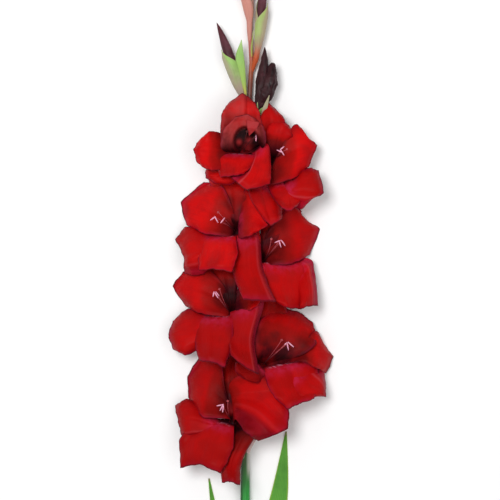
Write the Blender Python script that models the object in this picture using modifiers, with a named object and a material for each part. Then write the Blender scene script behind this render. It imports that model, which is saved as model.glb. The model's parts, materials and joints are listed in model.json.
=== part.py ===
"""Cut gladiolus flower spike, lying on a flat surface with its blooms facing up.

Metres, +Z up. +Y runs from the cut end of the stem to the tip of the spike.
Plan positions are given as (across, down) in steps of PLAN_STEP from a corner above and left
of the spike, so that across grows to the right and down grows towards the cut end.
"""

import math

import bmesh
import bpy
from mathutils import Vector

MM = 0.001
PLAN_STEP = 1.05 * MM
PLAN_MIDDLE_ACROSS = 250.54
PLAN_MIDDLE_DOWN = 308.03

# Gap between pieces that rest on each other, and the thickness of the thin sheets.
SEAT_GAP = 0.3 * MM
FLOOR_SNAP = 0.15 * MM
TEPAL_THICKNESS = 0.8 * MM
BRACT_THICKNESS = 0.8 * MM
LEAF_THICKNESS = 1.2 * MM

# Flower stem: across, down, height of its axis in mm, radius in mm, from the cut end up.
STEM_LINE = [
    (243.0, 690, 10.5, 5.4),
    (244.0, 600, 10.3, 5.3),
    (245.5, 500, 9.6, 5.1),
    (247.0, 456, 9.2, 4.9),
    (251.0, 400, 8.8, 4.6),
    (249.5, 348, 8.5, 4.3),
    (251.5, 298, 8.2, 4.0),
    (250.0, 262, 8.0, 3.8),
    (251.5, 204, 7.8, 3.4),
    (250.5, 176, 7.6, 3.1),
    (251.5, 140, 7.2, 2.8),
    (249.0, 100, 6.8, 2.4),
    (251.7, 58, 6.2, 2.2),
    (249.5, 22, 5.8, 2.0),
    (251.0, -8, 5.4, 1.8),
    (249.6, -30, 5.2, 1.6),
    (250.2, -50, 5.0, 1.3),
]

# Bloom: root of its throat (across, down), height of that root in mm, where it leaves the
# stem (down), the lean of its axis to the right and up the spike, and how far the anthers
# stand to the right and up the spike of that axis in mm.
# Tepal: how far its tip lies to the right of the root and up the spike in mm, its width in mm,
# how far its tip lies along the bloom's axis in mm, and how far its middle bulges forward in mm.
THROAT_DEPTH = 27.0
FLARE_RADIUS = 21.0
OUTER_WHORL = ("upper_left", "upper_right", "lip")
INNER_WHORL = ("dorsal", "lower_left", "lower_right")
WHORL_ROOT_RADIUS = {"outer": 3.9, "inner": 2.6}
WHORL_LIFT = {"outer": -3.5, "inner": 3.5}
TUBE_RADIUS = 3.1
OVARY_RADIUS = 3.3
OVARY_GAP = 0.5
TUBE_LEAN = (0.80, 0.60)
THROAT_FLOOR_RADIUS = 5.6
BLOOMS = {
    "1": dict(root=(244, 152), height=24, leaves_stem=176, lean=(-0.06, 0.36), anthers=(-1, 3), tepals={
        "dorsal": (3, 62, 44, 32, 9),
        "upper_left": (-52, 3, 48, 20, 6),
        "lower_left": (-36, -34, 44, 17, 4),
        "lip": (-12, -33, 38, 26, 6),
        "lower_right": (13, -41, 48, 26, 7),
        "upper_right": (25, 16, 40, 30, 3),
    }),
    "2": dict(root=(275, 160), height=20, leaves_stem=204, lean=(0.26, 0.42), anthers=(0, -2), tepals={
        "dorsal": (12, 41, 44, 32, 4),
        "upper_right": (44, 16, 38, 24, 4),
        "lower_right": (49, -33, 32, 20, 4),
        "lip": (16, -55, 48, 22, 5),
        "lower_left": (-4, -67, 44, 10, 4),
        "upper_left": (-7, 60, 34, 26, 2),
    }),
    "3": dict(root=(236, 232), height=20, leaves_stem=262, lean=(-0.36, 0.42), anthers=(-8, 1), tepals={
        "dorsal": (-14, 58, 50, 30, 4),
        "upper_left": (-58, 33, 52, 20, 4),
        "lower_left": (-63, -20, 54, 20, 4),
        "lip": (-26, -42, 50, 20, 5),
        "lower_right": (21, -73, 46, 10, 4),
        "upper_right": (28, 24, 52, 18, 4),
    }),
    "4": dict(root=(263, 262), height=20, leaves_stem=298, lean=(0.38, 0.45), anthers=(7, 5), tepals={
        "dorsal": (24, 58, 48, 30, 4),
        "upper_right": (59, 32, 44, 22, 4),
        "lower_right": (56, -43, 52, 20, 4),
        "lip": (22, -49, 48, 20, 5),
        "lower_left": (-16, -29, 42, 14, 3),
        "upper_left": (-12, 32, 32, 22, 2),
    }),
    "5": dict(root=(231, 315), height=20, leaves_stem=348, lean=(-0.36, 0.46), anthers=(-7, 7), tepals={
        "dorsal": (-18, 58, 52, 30, 4),
        "upper_left": (-60, 31, 54, 16, 4),
        "lower_left": (-64, -28, 56, 20, 4),
        "lip": (-22, -54, 48, 18, 5),
        "lower_right": (24, -62, 46, 10, 4),
        "upper_right": (26, 26, 42, 20, 2),
    }),
    "6": dict(root=(262, 367), height=20, leaves_stem=400, lean=(0.42, 0.46), anthers=(10, 7), tepals={
        "dorsal": (32, 62, 80, 34, 5),
        "upper_right": (74, 8, 54, 22, 4),
        "lower_right": (66, -33, 50, 20, 4),
        "lip": (25, -45, 56, 24, 5),
        "lower_left": (-24, -15, 52, 12, 3),
        "upper_left": (-7, 59, 38, 24, 2),
    }),
    "7": dict(root=(232, 424), height=20, leaves_stem=456, lean=(-0.30, 0.46), anthers=(-4, 4), tepals={
        "dorsal": (-25, 67, 60, 32, 4),
        "upper_left": (-49, 38, 54, 16, 4),
        "lower_left": (-58, -10, 60, 20, 4),
        "lip": (-38, -45, 58, 18, 5),
        "lower_right": (2, -62, 38, 12, 4),
        "upper_right": (54, 12, 72, 10, 4),
    }),
}
TEPAL_ROWS = 5
TIP_CROWDING = 1.5
TEPAL_COLUMNS = 4
BRACT_ROWS = 3
BRACT_COLUMNS = 4
WIDEST_SHARE = 0.68
RUFFLE_DEPTH = 3.0 * MM
RUFFLE_WAVES = 1.6
EDGE_MARGIN = 4.0 * MM
CUP_RADIUS = 60.0 * MM
CURL_RADIUS = 70.0 * MM
BRACT_HALF_TURN = {"outer": 1.95, "inner": 1.75}

# Stamen, and style: turn round the axis from straight up the spike, and length in mm.
STAMENS = [(-1.1, 25.0), (0.0, 27.0), (1.1, 24.0)]
STYLE = (0.25, 31.0)
FILAMENT_RADIUS = 0.55
ANTHER_HALF = (4.5, 1.2)
STIGMA_HALF = (1.6, 1.3)

# Bud: side of the stem, its line as (across, down, height in mm), its radius in mm, and the
# length of its outer and inner bract as a share of that line.
BUDS = {
    "dark_right": dict(side=1, radius=8.0, bracts=(0.42, 0.30),
                       line=[(256, 130, 11), (258, 108, 15), (263, 76, 17), (265, 48, 15)]),
    "maroon_left": dict(side=-1, radius=5.4, bracts=(0.66, 0.78),
                        line=[(244.5, 99, 10.4), (237, 78, 13), (228, 48, 14), (217, 23, 13)]),
    "upper_right": dict(side=1, radius=4.6, bracts=(0.62, 0.74),
                        line=[(256, 55, 9.8), (260, 30, 12), (263, -5, 13), (266, -42, 13)]),
    "upper_left": dict(side=-1, radius=4.0, bracts=(0.80, 0.86),
                       line=[(245.2, 18, 9), (244, 0, 11), (240.5, -20, 13), (236.5, -44, 14)]),
    "high_right": dict(side=1, radius=3.2, bracts=(0.80, 0.88),
                       line=[(255, -13, 8.6), (257, -28, 9), (259, -46, 10), (261, -64, 10)]),
    "high_left": dict(side=-1, radius=2.5, bracts=(0.84, 0.92),
                      line=[(245.6, -35, 8.2), (245, -48, 9), (244, -60, 9), (243, -74, 9)]),
}
# Side lobe of the dark bud, crumpled out of its tip.
DARK_LOBE_LINE = [(259, 104, 15), (266, 96, 19), (274, 88, 21), (279, 70, 18)]
DARK_LOBE_RADIUS = 6.0
BUD_SWELL = 0.55
BUD_LOBES = 0.06
BUD_TWIST = 1.4

# Leaves: line as (across, down, height of the sheet in mm, half width in mm, opening).
# Opening is 0 where the leaf wraps the stem and 1 where it lies open.
LEAVES = {
    "left": [(243.0, 684, 2.2, 18, 0.0), (242.5, 655, 1.6, 17, 0.10), (240.0, 622, 0.6, 13, 0.85),
             (227.0, 575, 0.6, 9.0, 1.0), (215.0, 525, 0.6, 4.0, 1.0), (208.0, 484, 0.6, 0.6, 1.0)],
    "right": [(243.2, 668, 3.7, 14.5, 0.0), (243.8, 628, 3.6, 14.5, 0.0), (247.0, 595, 2.3, 13, 0.75),
              (268.0, 550, 0.6, 12.5, 1.0), (280.0, 500, 0.6, 9.0, 1.0), (287.0, 436, 0.6, 0.6, 1.0)],
}

LEAF_WRAP_RADIUS = {"left": 8.4, "right": 7.0}

COLOURS = {
    "petal_red": ((0.50, 0.012, 0.016), 0.55),
    "bud_maroon": ((0.085, 0.014, 0.022), 0.60),
    "stamen_pink": ((0.80, 0.30, 0.42), 0.60),
    "bract_green": ((0.26, 0.42, 0.14), 0.55),
    "stem_green": ((0.09, 0.30, 0.08), 0.50),
    "leaf_green": ((0.07, 0.25, 0.04), 0.50),
}


def plan(across, down, height):
    """Point at a plan position and at a height in mm."""
    return Vector(((across - PLAN_MIDDLE_ACROSS) * PLAN_STEP,
                   (PLAN_MIDDLE_DOWN - down) * PLAN_STEP,
                   height * MM))


def smooth(low, high, value):
    """0 below low, 1 above high, and an even ramp between."""
    share = min(max((value - low) / (high - low), 0.0), 1.0)
    return share * share * (3.0 - 2.0 * share)


def mix(first, second, share):
    return first + (second - first) * share


def bezier(points, share):
    """Point of the cubic curve with four control points."""
    left = 1.0 - share
    return (points[0] * left ** 3 + points[1] * 3.0 * left * left * share
            + points[2] * 3.0 * left * share * share + points[3] * share ** 3)


def bezier_slope(points, share):
    left = 1.0 - share
    return ((points[1] - points[0]) * left * left + (points[2] - points[1]) * 2.0 * left * share
            + (points[3] - points[2]) * share * share)


def make_material(name):
    colour, roughness = COLOURS[name]
    material = bpy.data.materials.new(name)
    material.use_nodes = True
    shader = material.node_tree.nodes["Principled BSDF"]
    shader.inputs["Base Color"].default_value = (*colour, 1.0)
    shader.inputs["Roughness"].default_value = roughness
    shader.inputs["Metallic"].default_value = 0.0
    material.diffuse_color = (*colour, 1.0)
    return material


def add_object(name, mesh, collection):
    thing = bpy.data.objects.new(name, mesh)
    collection.objects.link(thing)
    return thing


def evaluated_mesh(thing):
    """Plain mesh of an object with its modifiers applied."""
    graph = bpy.context.evaluated_depsgraph_get()
    return bpy.data.meshes.new_from_object(thing.evaluated_get(graph))


def drop_object(thing):
    bpy.data.objects.remove(thing, do_unlink=True)


def make_sheet(name, rows, columns, place, thickness, collection):
    """Thin closed solid round the surface that place(along, side) gives."""
    shape = bmesh.new()
    bmesh.ops.create_grid(shape, x_segments=columns, y_segments=rows, size=1.0)
    for vertex in shape.verts:
        vertex.co = place((vertex.co.y + 1.0) / 2.0, vertex.co.x)
    bmesh.ops.triangulate(shape, faces=shape.faces)
    mesh = bpy.data.meshes.new(name)
    shape.to_mesh(mesh)
    shape.free()
    sheet = add_object(name, mesh, collection)
    wall = sheet.modifiers.new("wall", "SOLIDIFY")
    wall.thickness = thickness
    wall.offset = 0.0
    sheet.data = evaluated_mesh(sheet)
    sheet.modifiers.clear()
    return sheet


def make_rod(name, points, radii, sides_step, collection):
    """Round rod with flat ends along a line of points."""
    curve = bpy.data.curves.new(name, "CURVE")
    curve.dimensions = "3D"
    curve.bevel_depth = 1.0 * MM
    curve.bevel_resolution = sides_step
    curve.use_fill_caps = True
    spline = curve.splines.new("POLY")
    spline.points.add(len(points) - 1)
    for knot, point, radius in zip(spline.points, points, radii):
        knot.co = (*point, 1.0)
        knot.radius = radius / MM
    rod = add_object(name, curve, collection)
    mesh = evaluated_mesh(rod)
    drop_object(rod)
    shape = bmesh.new()
    shape.from_mesh(mesh)
    bmesh.ops.remove_doubles(shape, verts=shape.verts, dist=0.001 * MM)
    bmesh.ops.recalc_face_normals(shape, faces=shape.faces)
    bmesh.ops.triangulate(shape, faces=shape.faces)
    shape.to_mesh(mesh)
    shape.free()
    return add_object(name, mesh, collection)


def bud_thickness(share):
    """Radius of a bud as a share of its greatest one."""
    power = math.log(0.5) / math.log(BUD_SWELL)
    return math.sin(math.pi * min(max(share, 0.001), 0.999) ** power) ** 0.8


def make_spindle(name, line, radius, segments, rings, collection, lobes=0.0, twist=0.0):
    """Closed pointed body round a curved line, thickest at its BUD_SWELL share."""
    shape = bmesh.new()
    bmesh.ops.create_uvsphere(shape, u_segments=segments, v_segments=rings, radius=1.0)
    for vertex in shape.verts:
        share = (vertex.co.z + 1.0) / 2.0
        turn = math.atan2(vertex.co.y, vertex.co.x) + twist * share
        thick = bud_thickness(share) if 0.0 < share < 1.0 else 0.0
        centre = bezier(line, share)
        ahead = bezier_slope(line, share).normalized()
        across = ahead.cross(Vector((0, 0, 1))).normalized()
        front = across.cross(ahead)
        reach = radius * thick * (1.0 + lobes * math.cos(3.0 * (turn - twist * share * 2.0)))
        angle = turn - twist * share
        vertex.co = centre + (across * math.cos(angle) + front * math.sin(angle)) * reach
    shape.normal_update()
    bmesh.ops.recalc_face_normals(shape, faces=shape.faces)
    bmesh.ops.triangulate(shape, faces=shape.faces)
    mesh = bpy.data.meshes.new(name)
    shape.to_mesh(mesh)
    shape.free()
    return add_object(name, mesh, collection)


def keep_largest_body(mesh):
    """Drop the loose scraps and fill the sealed hollows that a union leaves."""
    shape = bmesh.new()
    shape.from_mesh(mesh)
    unseen = set(shape.faces)
    bodies = []
    while unseen:
        body = [unseen.pop()]
        for face in body:
            for edge in face.edges:
                for near in edge.link_faces:
                    if near in unseen:
                        unseen.remove(near)
                        body.append(near)
        bodies.append(body)
    largest = max(bodies, key=lambda body: sum(face.calc_area() for face in body))
    scraps = [face for body in bodies if body is not largest for face in body]
    bmesh.ops.delete(shape, geom=scraps, context="FACES")
    for vertex in shape.verts:
        if vertex.co.z < FLOOR_SNAP:
            vertex.co.z = 0.0
    bmesh.ops.triangulate(shape, faces=shape.faces)
    shape.to_mesh(mesh)
    shape.free()


def fuse(name, pieces, material, collection):
    """One body from overlapping pieces, by one Boolean union on a collection."""
    first, others = pieces[0], pieces[1:]
    if others:
        operands = bpy.data.collections.new(name + "_pieces")
        bpy.context.scene.collection.children.link(operands)
        for piece in others:
            collection.objects.unlink(piece)
            operands.objects.link(piece)
        join = first.modifiers.new("join", "BOOLEAN")
        join.operation = "UNION"
        join.operand_type = "COLLECTION"
        join.solver = "MANIFOLD"
        join.collection = operands
        bpy.context.view_layer.update()
        mesh = evaluated_mesh(first)
        for piece in others:
            drop_object(piece)
        bpy.data.collections.remove(operands)
    else:
        mesh = first.data.copy()
    drop_object(first)
    keep_largest_body(mesh)
    mesh.materials.clear()
    mesh.materials.append(material)
    mesh.shade_smooth()
    mesh.set_sharp_from_angle(angle=math.radians(50))
    mesh.name = name
    return add_object(name, mesh, collection)


def stem_at(down):
    """Axis point and radius of the flower stem at a plan position."""
    for low, high in zip(STEM_LINE, STEM_LINE[1:]):
        if high[1] <= down <= low[1]:
            share = (low[1] - down) / (low[1] - high[1])
            across, height, radius = (mix(low[i], high[i], share) for i in (0, 2, 3))
            return plan(across, down, height), radius * MM
    raise ValueError("no stem there")


def bloom_axis(bloom):
    right, up = bloom["lean"]
    return Vector((right, up, math.sqrt(1.0 - right * right - up * up)))


def tepal_place(bloom, tepal, phase, whorl):
    """Surface of one tepal: along runs from root to tip, side from edge to edge."""
    root = plan(*bloom["root"], bloom["height"])
    axis = bloom_axis(bloom)
    right, up, width, forward, bulge = (value * MM for value in tepal)
    rise = (forward - axis.x * right - axis.y * up) / axis.z
    lowest = 0.75 * TEPAL_THICKNESS / 2.0
    tip = Vector((right, up, max(rise, lowest - root.z)))
    forward = tip.dot(axis)
    spread = tip - axis * forward
    reach = spread.length
    outward = spread / reach
    sideways = axis.cross(outward)
    depth = THROAT_DEPTH * MM
    mouth = WHORL_ROOT_RADIUS[whorl] * MM
    bulge += WHORL_LIFT[whorl] * MM
    line = [Vector((-1.5 * MM, mouth, 0)), Vector((0.62 * depth, mouth * 1.1, 0)),
            Vector((depth + bulge, FLARE_RADIUS * MM, 0)), Vector((forward, reach, 0))]

    def place(step, side):
        along = 1.0 - (1.0 - step) ** TIP_CROWDING
        here = bezier(line, along)
        slope = bezier_slope(line, along).normalized()
        ahead = axis * slope.x + outward * slope.y
        inward = -sideways.cross(ahead)
        opened = smooth(0.12, 0.50, along)
        if along < WIDEST_SHARE:
            outline = 0.42 + 0.58 * math.sin(math.pi / 2.0 * along / WIDEST_SHARE)
        else:
            outline = max(1.0 - ((along - WIDEST_SHARE) / (1.0 - WIDEST_SHARE)) ** 3.0, 0.0) ** 0.60
        half = mix(here.y * 0.66, (width / 2.0 + EDGE_MARGIN) * outline, opened)
        half = max(min(half, 0.95 * here.y), 1.2 * MM)
        blade_bend = mix(1.0 / CUP_RADIUS, -1.0 / CURL_RADIUS, smooth(0.55, 0.95, along))
        bend = mix(1.0 / here.y, blade_bend, opened)
        angle = bend * half * side
        across = math.sin(angle) / bend
        lift = (1.0 - math.cos(angle)) / bend
        wave = math.sin(phase + math.tau * RUFFLE_WAVES * along + (1.9 if side > 0 else 0.0))
        lift += RUFFLE_DEPTH * side * side * smooth(0.45, 0.85, along) * wave
        point = root + axis * here.x + outward * here.y + sideways * across + inward * lift
        point.z = max(point.z, lowest)
        return point

    return place


def tube_line(bloom):
    """Control points of the tube's centre line, from the ovary at the stem to the throat."""
    root = plan(*bloom["root"], bloom["height"])
    centre, radius = stem_at(bloom["leaves_stem"])
    side = 1.0 if root.x > centre.x else -1.0
    away = Vector((TUBE_LEAN[0] * side, 0.0, TUBE_LEAN[1]))
    clear = radius + 2.0 * SEAT_GAP + BRACT_THICKNESS + (OVARY_RADIUS + OVARY_GAP) * MM
    start = centre + away * clear
    return [start, start + Vector((0, 13 * MM, 0)) + away * 2 * MM,
            root - bloom_axis(bloom) * 15 * MM, root], away


def make_bloom(number, bloom, material, collection):
    line, _ = tube_line(bloom)
    steps = 5
    shares = [i / steps for i in range(steps + 1)]
    points = [bezier(line, share) for share in shares]
    points.append(points[-1] + bloom_axis(bloom) * 1.2 * MM)
    radii = [mix(OVARY_RADIUS, TUBE_RADIUS, smooth(0.2, 0.6, share)) * MM for share in shares]
    floor_radius = THROAT_FLOOR_RADIUS * MM
    radii = [mix(radius, floor_radius, smooth(0.6, 1.0, share)) for radius, share in zip(radii, shares)]
    radii.append(floor_radius)
    pieces = [make_rod("tube_" + number, points, radii, 1, collection)]
    for index, key in enumerate(OUTER_WHORL + INNER_WHORL):
        phase = 1.7 * index + 0.9 * int(number)
        whorl = "outer" if key in OUTER_WHORL else "inner"
        place = tepal_place(bloom, bloom["tepals"][key], phase, whorl)
        pieces.append(make_sheet(key, TEPAL_ROWS, TEPAL_COLUMNS, place, TEPAL_THICKNESS, collection))
    return fuse("bloom_" + number, pieces, material, collection)


def make_stamens(number, bloom, material, collection):
    """Three stamens and a style that rise from the floor of the throat."""
    axis = bloom_axis(bloom)
    floor = plan(*bloom["root"], bloom["height"]) + axis * (1.2 * MM + SEAT_GAP)
    up = (Vector((0, 1, 0)) - axis * axis.y).normalized()
    right = up.cross(axis)
    lean = (right * bloom["anthers"][0] + up * bloom["anthers"][1]) * MM
    pieces = [make_rod("foot", [floor, floor + axis * 1.6 * MM], [1.5 * MM, 1.2 * MM], 1, collection)]
    for turn, length in STAMENS + [STYLE]:
        fan = right * (math.sin(turn) * 3.4 * MM) + up * (math.cos(turn) * 1.6 * MM)
        start = floor + axis * 0.5 * MM
        end = start + axis * length * MM + lean + fan
        line = [start, start + axis * length * 0.45 * MM + lean * 0.15,
                start + axis * length * 0.75 * MM + lean * 0.55, end]
        points = [bezier(line, share / 2.0) for share in range(3)]
        pieces.append(make_rod("filament", points, [FILAMENT_RADIUS * MM] * 3, 0, collection))
        outward = (lean.normalized() + fan.normalized() + axis * 0.8).normalized()
        half, radius = STIGMA_HALF if (turn, length) == STYLE else ANTHER_HALF
        tip = [end + outward * share * half * MM for share in (-1.0, -0.3, 0.3, 1.0)]
        pieces.append(make_spindle("anther", tip, radius * MM, 4, 4, collection))
    return fuse("stamens_" + number, pieces, material, collection)


def bract_place(line, away, radius, start_angle, half_angle, length):
    """Part of a sheath wall round a curved line, narrowing to a tip."""
    def place(along, side):
        share = along * length
        centre = bezier(line, share)
        ahead = bezier_slope(line, share).normalized()
        out = (away - ahead * away.dot(ahead)).normalized()
        beside = ahead.cross(out)
        narrow = max(1.0 - smooth(0.35, 1.0, along) ** 1.2, 0.03)
        angle = start_angle + side * half_angle * narrow
        reach = radius(share) / math.cos(half_angle * narrow / BRACT_COLUMNS)
        point = centre + (out * math.cos(angle) + beside * math.sin(angle)) * reach
        point.z = max(point.z, BRACT_THICKNESS / 2.0)
        return point

    return place


def make_bracts(name, line, away, outer, inner, material, collection):
    """Outer and inner bract, joined where they clasp the foot of their flower.

    outer and inner are (radius function, length as a share of the line).
    """
    pieces = []
    for key, middle, (radius, length) in (("outer", 0.0, outer), ("inner", math.pi, inner)):
        place = bract_place(line, away, radius, middle, BRACT_HALF_TURN[key], length)
        pieces.append(make_sheet(key, BRACT_ROWS, BRACT_COLUMNS, place, BRACT_THICKNESS, collection))
    return fuse(name, pieces, material, collection)


def bloom_bracts(number, bloom, material, collection):
    line, away = tube_line(bloom)
    wall = BRACT_THICKNESS / 2.0 + SEAT_GAP

    def inner(share):
        return mix(OVARY_RADIUS, TUBE_RADIUS, smooth(0.2, 0.6, share)) * MM + wall + share * 0.6 * MM

    def outer(share):
        return inner(share) + 0.35 * MM + smooth(0.0, 0.3, share) * 0.9 * MM

    name = "bracts_bloom_" + number
    return make_bracts(name, line, away, (outer, 0.80), (inner, 0.62), material, collection)


def make_bud(name, bud, materials, collection):
    line = [plan(*point) for point in bud["line"]]
    radius = bud["radius"] * MM
    pieces = [make_spindle("bud", line, radius, 8, 8, collection, lobes=BUD_LOBES, twist=BUD_TWIST)]
    if name == "dark_right":
        lobe = [plan(*point) for point in DARK_LOBE_LINE]
        pieces.append(make_spindle("lobe", lobe, DARK_LOBE_RADIUS * MM, 8, 6, collection))
    fuse("bud_" + name, pieces, materials["bud_maroon"], collection)
    away = Vector((TUBE_LEAN[0] * bud["side"], 0.0, TUBE_LEAN[1]))
    wall = BRACT_THICKNESS / 2.0 + SEAT_GAP

    def inner(share):
        return max(radius * bud_thickness(share) * 1.08, 1.6 * MM) + wall + 0.3 * MM

    def outer(share):
        return inner(share) + 0.35 * MM + smooth(0.0, 0.3, share) * 0.9 * MM

    outer_length, inner_length = bud["bracts"]
    make_bracts("bracts_" + name, line, away, (outer, outer_length), (inner, inner_length),
                materials["bract_green"], collection)


def leaf_place(leaf, wrap_radius):
    """Blade that wraps the stem at its foot and opens to lie flat."""
    def place(along, side):
        last = len(leaf) - 1
        position = min(along * last, last - 1e-6)
        index = int(position)
        share = position - index
        nearby = [leaf[min(max(index + step, 0), last)] for step in (-1, 0, 1, 2)]

        def value(column):
            a, b, c, d = (row[column] for row in nearby)
            return 0.5 * (2 * b + (c - a) * share + (2 * a - 5 * b + 4 * c - d) * share ** 2
                          + (3 * b - a - 3 * c + d) * share ** 3)

        half = max(value(3), 0.5) * MM
        opened = min(max(value(4), 0.0), 1.0)
        bend = mix(1.0 / (wrap_radius * MM), 1.0 / (900 * MM), opened ** 0.5)
        angle = bend * half * side
        point = plan(value(0), value(1), max(value(2), 0.6))
        point.x += math.sin(angle) / bend
        point.z += (1.0 - math.cos(angle)) / bend * (1.0 - smooth(0.85, 1.0, opened))
        return point

    return place


def make_leaf(name, leaf, material, collection):
    sheet = make_sheet("leaf", 10, 4, leaf_place(leaf, LEAF_WRAP_RADIUS[name]), LEAF_THICKNESS, collection)
    return fuse("leaf_" + name, [sheet], material, collection)


def make_stem(material, collection):
    points = [plan(across, down, height) for across, down, height, _ in STEM_LINE]
    radii = [radius * MM for *_, radius in STEM_LINE]
    rod = make_rod("stem", points, radii, 2, collection)
    return fuse("flower_stem", [rod], material, collection)


def main():
    for thing in list(bpy.data.objects):
        bpy.data.objects.remove(thing, do_unlink=True)
    collection = bpy.data.collections.new("gladiolus_spike")
    bpy.context.scene.collection.children.link(collection)
    materials = {name: make_material(name) for name in COLOURS}
    make_stem(materials["stem_green"], collection)
    for name, leaf in LEAVES.items():
        make_leaf(name, leaf, materials["leaf_green"], collection)
    for number, bloom in BLOOMS.items():
        make_bloom(number, bloom, materials["petal_red"], collection)
        make_stamens(number, bloom, materials["stamen_pink"], collection)
        bloom_bracts(number, bloom, materials["bract_green"], collection)
    for name, bud in BUDS.items():
        make_bud(name, bud, materials, collection)


main()
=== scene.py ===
"""Looks of a cut gladiolus spike: red petals, stamens, buds, bracts, stem and leaves.

Metres, +Z up. The spike lies along Y with its blooms facing up, and the camera looks straight down.
"""

import json
import math

import bmesh
import bpy
import numpy as np
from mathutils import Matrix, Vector, noise

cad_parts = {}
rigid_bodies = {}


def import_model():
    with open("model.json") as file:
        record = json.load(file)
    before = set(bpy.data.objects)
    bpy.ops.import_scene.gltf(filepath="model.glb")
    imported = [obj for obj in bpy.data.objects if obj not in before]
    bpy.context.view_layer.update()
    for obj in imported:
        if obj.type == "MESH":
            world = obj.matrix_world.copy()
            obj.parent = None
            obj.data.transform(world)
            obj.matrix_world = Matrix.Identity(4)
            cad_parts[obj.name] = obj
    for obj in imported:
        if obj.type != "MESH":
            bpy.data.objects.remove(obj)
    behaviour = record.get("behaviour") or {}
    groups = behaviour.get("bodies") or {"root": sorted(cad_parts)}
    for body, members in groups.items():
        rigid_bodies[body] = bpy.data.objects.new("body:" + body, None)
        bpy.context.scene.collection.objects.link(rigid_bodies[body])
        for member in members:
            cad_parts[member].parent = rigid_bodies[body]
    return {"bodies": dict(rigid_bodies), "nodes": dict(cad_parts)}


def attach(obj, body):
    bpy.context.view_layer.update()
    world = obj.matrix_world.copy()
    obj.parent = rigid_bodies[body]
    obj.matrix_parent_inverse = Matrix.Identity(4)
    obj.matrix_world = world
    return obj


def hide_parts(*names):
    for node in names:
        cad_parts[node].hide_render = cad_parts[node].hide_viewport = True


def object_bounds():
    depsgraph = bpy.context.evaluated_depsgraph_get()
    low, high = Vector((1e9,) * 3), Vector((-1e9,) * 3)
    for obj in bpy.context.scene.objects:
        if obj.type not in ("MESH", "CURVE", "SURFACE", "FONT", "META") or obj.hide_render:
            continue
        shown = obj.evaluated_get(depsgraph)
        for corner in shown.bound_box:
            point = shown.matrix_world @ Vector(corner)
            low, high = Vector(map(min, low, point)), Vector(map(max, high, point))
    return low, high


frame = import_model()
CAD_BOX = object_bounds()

MM = 0.001
UP = np.array([0.0, 0.0, 1.0])
PLAN_STEP = 1.05 * MM
PLAN_MIDDLE_ACROSS = 250.54
PLAN_MIDDLE_DOWN = 308.03

# Camera: the point of the plan that it looks down on, and the width of the field at petal height.
VIEW_CENTRE = (250.0, 250.0)
VIEW_FIELD = 525.0 * MM
VIEW_HEIGHT = 42.0 * MM
LENS = 120.0
SENSOR = 36.0
CLIP = (0.05, 20.0)

# Round lights: place, size and power, and the point that they all face.
LIGHTS = {"soft_key": ((-0.45, 0.40, 1.9), 0.7, 23.0), "soft_fill": ((0.7, -0.4, 1.7), 1.4, 6.0)}
LIT_POINT = (0.0, 0.06, 0.03)
AIR_STRENGTH = 0.44
FLOOR_REACH = 3.0
FLOOR_HEIGHT = -0.0002

SEAT_GAP = 0.3 * MM
BRACT_THICKNESS = 0.8 * MM
LEAF_THICKNESS = 1.2 * MM
PETAL_THICKNESS = 0.5 * MM
PETAL_FLOOR = 0.35 * MM
HIGHEST = 80.0 * MM

# Flower stem: across, down, height of its axis in mm, radius in mm, from the cut end up.
STEM_LINE = [
    (243.0, 690, 10.5, 5.4), (244.0, 600, 10.3, 5.3), (245.0, 500, 9.6, 5.0), (245.4, 462, 9.2, 4.4),
    (251.0, 400, 8.8, 4.6), (249.5, 348, 8.5, 4.3), (251.5, 298, 8.2, 4.0), (250.0, 262, 8.0, 3.8),
    (251.5, 204, 7.8, 3.4), (250.5, 176, 7.6, 3.1), (251.5, 140, 7.2, 3.0), (249.2, 100, 6.8, 2.8),
    (251.7, 58, 6.2, 2.5), (249.5, 22, 5.8, 2.3), (251.0, -8, 5.4, 1.8), (249.6, -30, 5.2, 1.6),
    (250.2, -50, 5.0, 1.3),
]
STALK_TOP = 0.3760

# Flower: depth of its throat, where its petals flare, and its tube, in mm.
THROAT_DEPTH = 27.0
FLARE_RADIUS = 21.0
OUTER_WHORL = ("upper_left", "upper_right", "lip")
INNER_WHORL = ("dorsal", "lower_left", "lower_right")
WHORL_ROOT_RADIUS = {"outer": 3.9, "inner": 2.6}
WHORL_LIFT = {"outer": -3.5, "inner": 3.5}
LOWER_PETALS = ("lip", "lower_left", "lower_right")
TUBE_RADIUS = 3.1
OVARY_RADIUS = 3.3
OVARY_GAP = 0.5
TUBE_LEAN = (0.80, 0.60)
THROAT_FLOOR_RADIUS = 5.6

# Petal sheet: its grid, how its rows crowd towards the tip, and where along it the outline's points lie.
PETAL_GRID = (64, 44)
TIP_CROWDING = 1.5
OUTLINE_SHARES = (0.0, 0.25, 0.60, 1.0)
# Notches of its sides (share of its width, waves, phase, lean), fringe of its tip (mm, waves, phase) and
# waves of its edges (mm, power of the place across, phase, waves).
SIDE_NOTCHES = [(0.016, 3.3, 2.1, 1.5), (0.010, 8.1, 3.7, -1.0)]
TIP_FRINGE = [(0.40, 9.0, 1.0), (0.12, 21.0, 2.0)]
EDGE_WAVES = [(2.2, 2, 1.0, 1.5), (0.9, 4, 2.3, 4.2)]
SECOND_EDGE_PHASE = 1.9
# Its smaller relief, in mm: the wave of its tip, the groove down its middle, its lengthwise folds, the
# swelling of a lower petal outside the throat, and the ridge where a side turns back.
TIP_WAVE = 1.2
MIDDLE_GROOVE = 0.6
LENGTH_FOLDS = 0.45
LOWER_SWELLING = 3.0
TURN_RIDGE = 0.4
# How much thinner it is at its rim, and the most that a lower petal is bright.
RIM_THINNING = 0.45
LOWER_BRIGHTEST = 0.62
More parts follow.
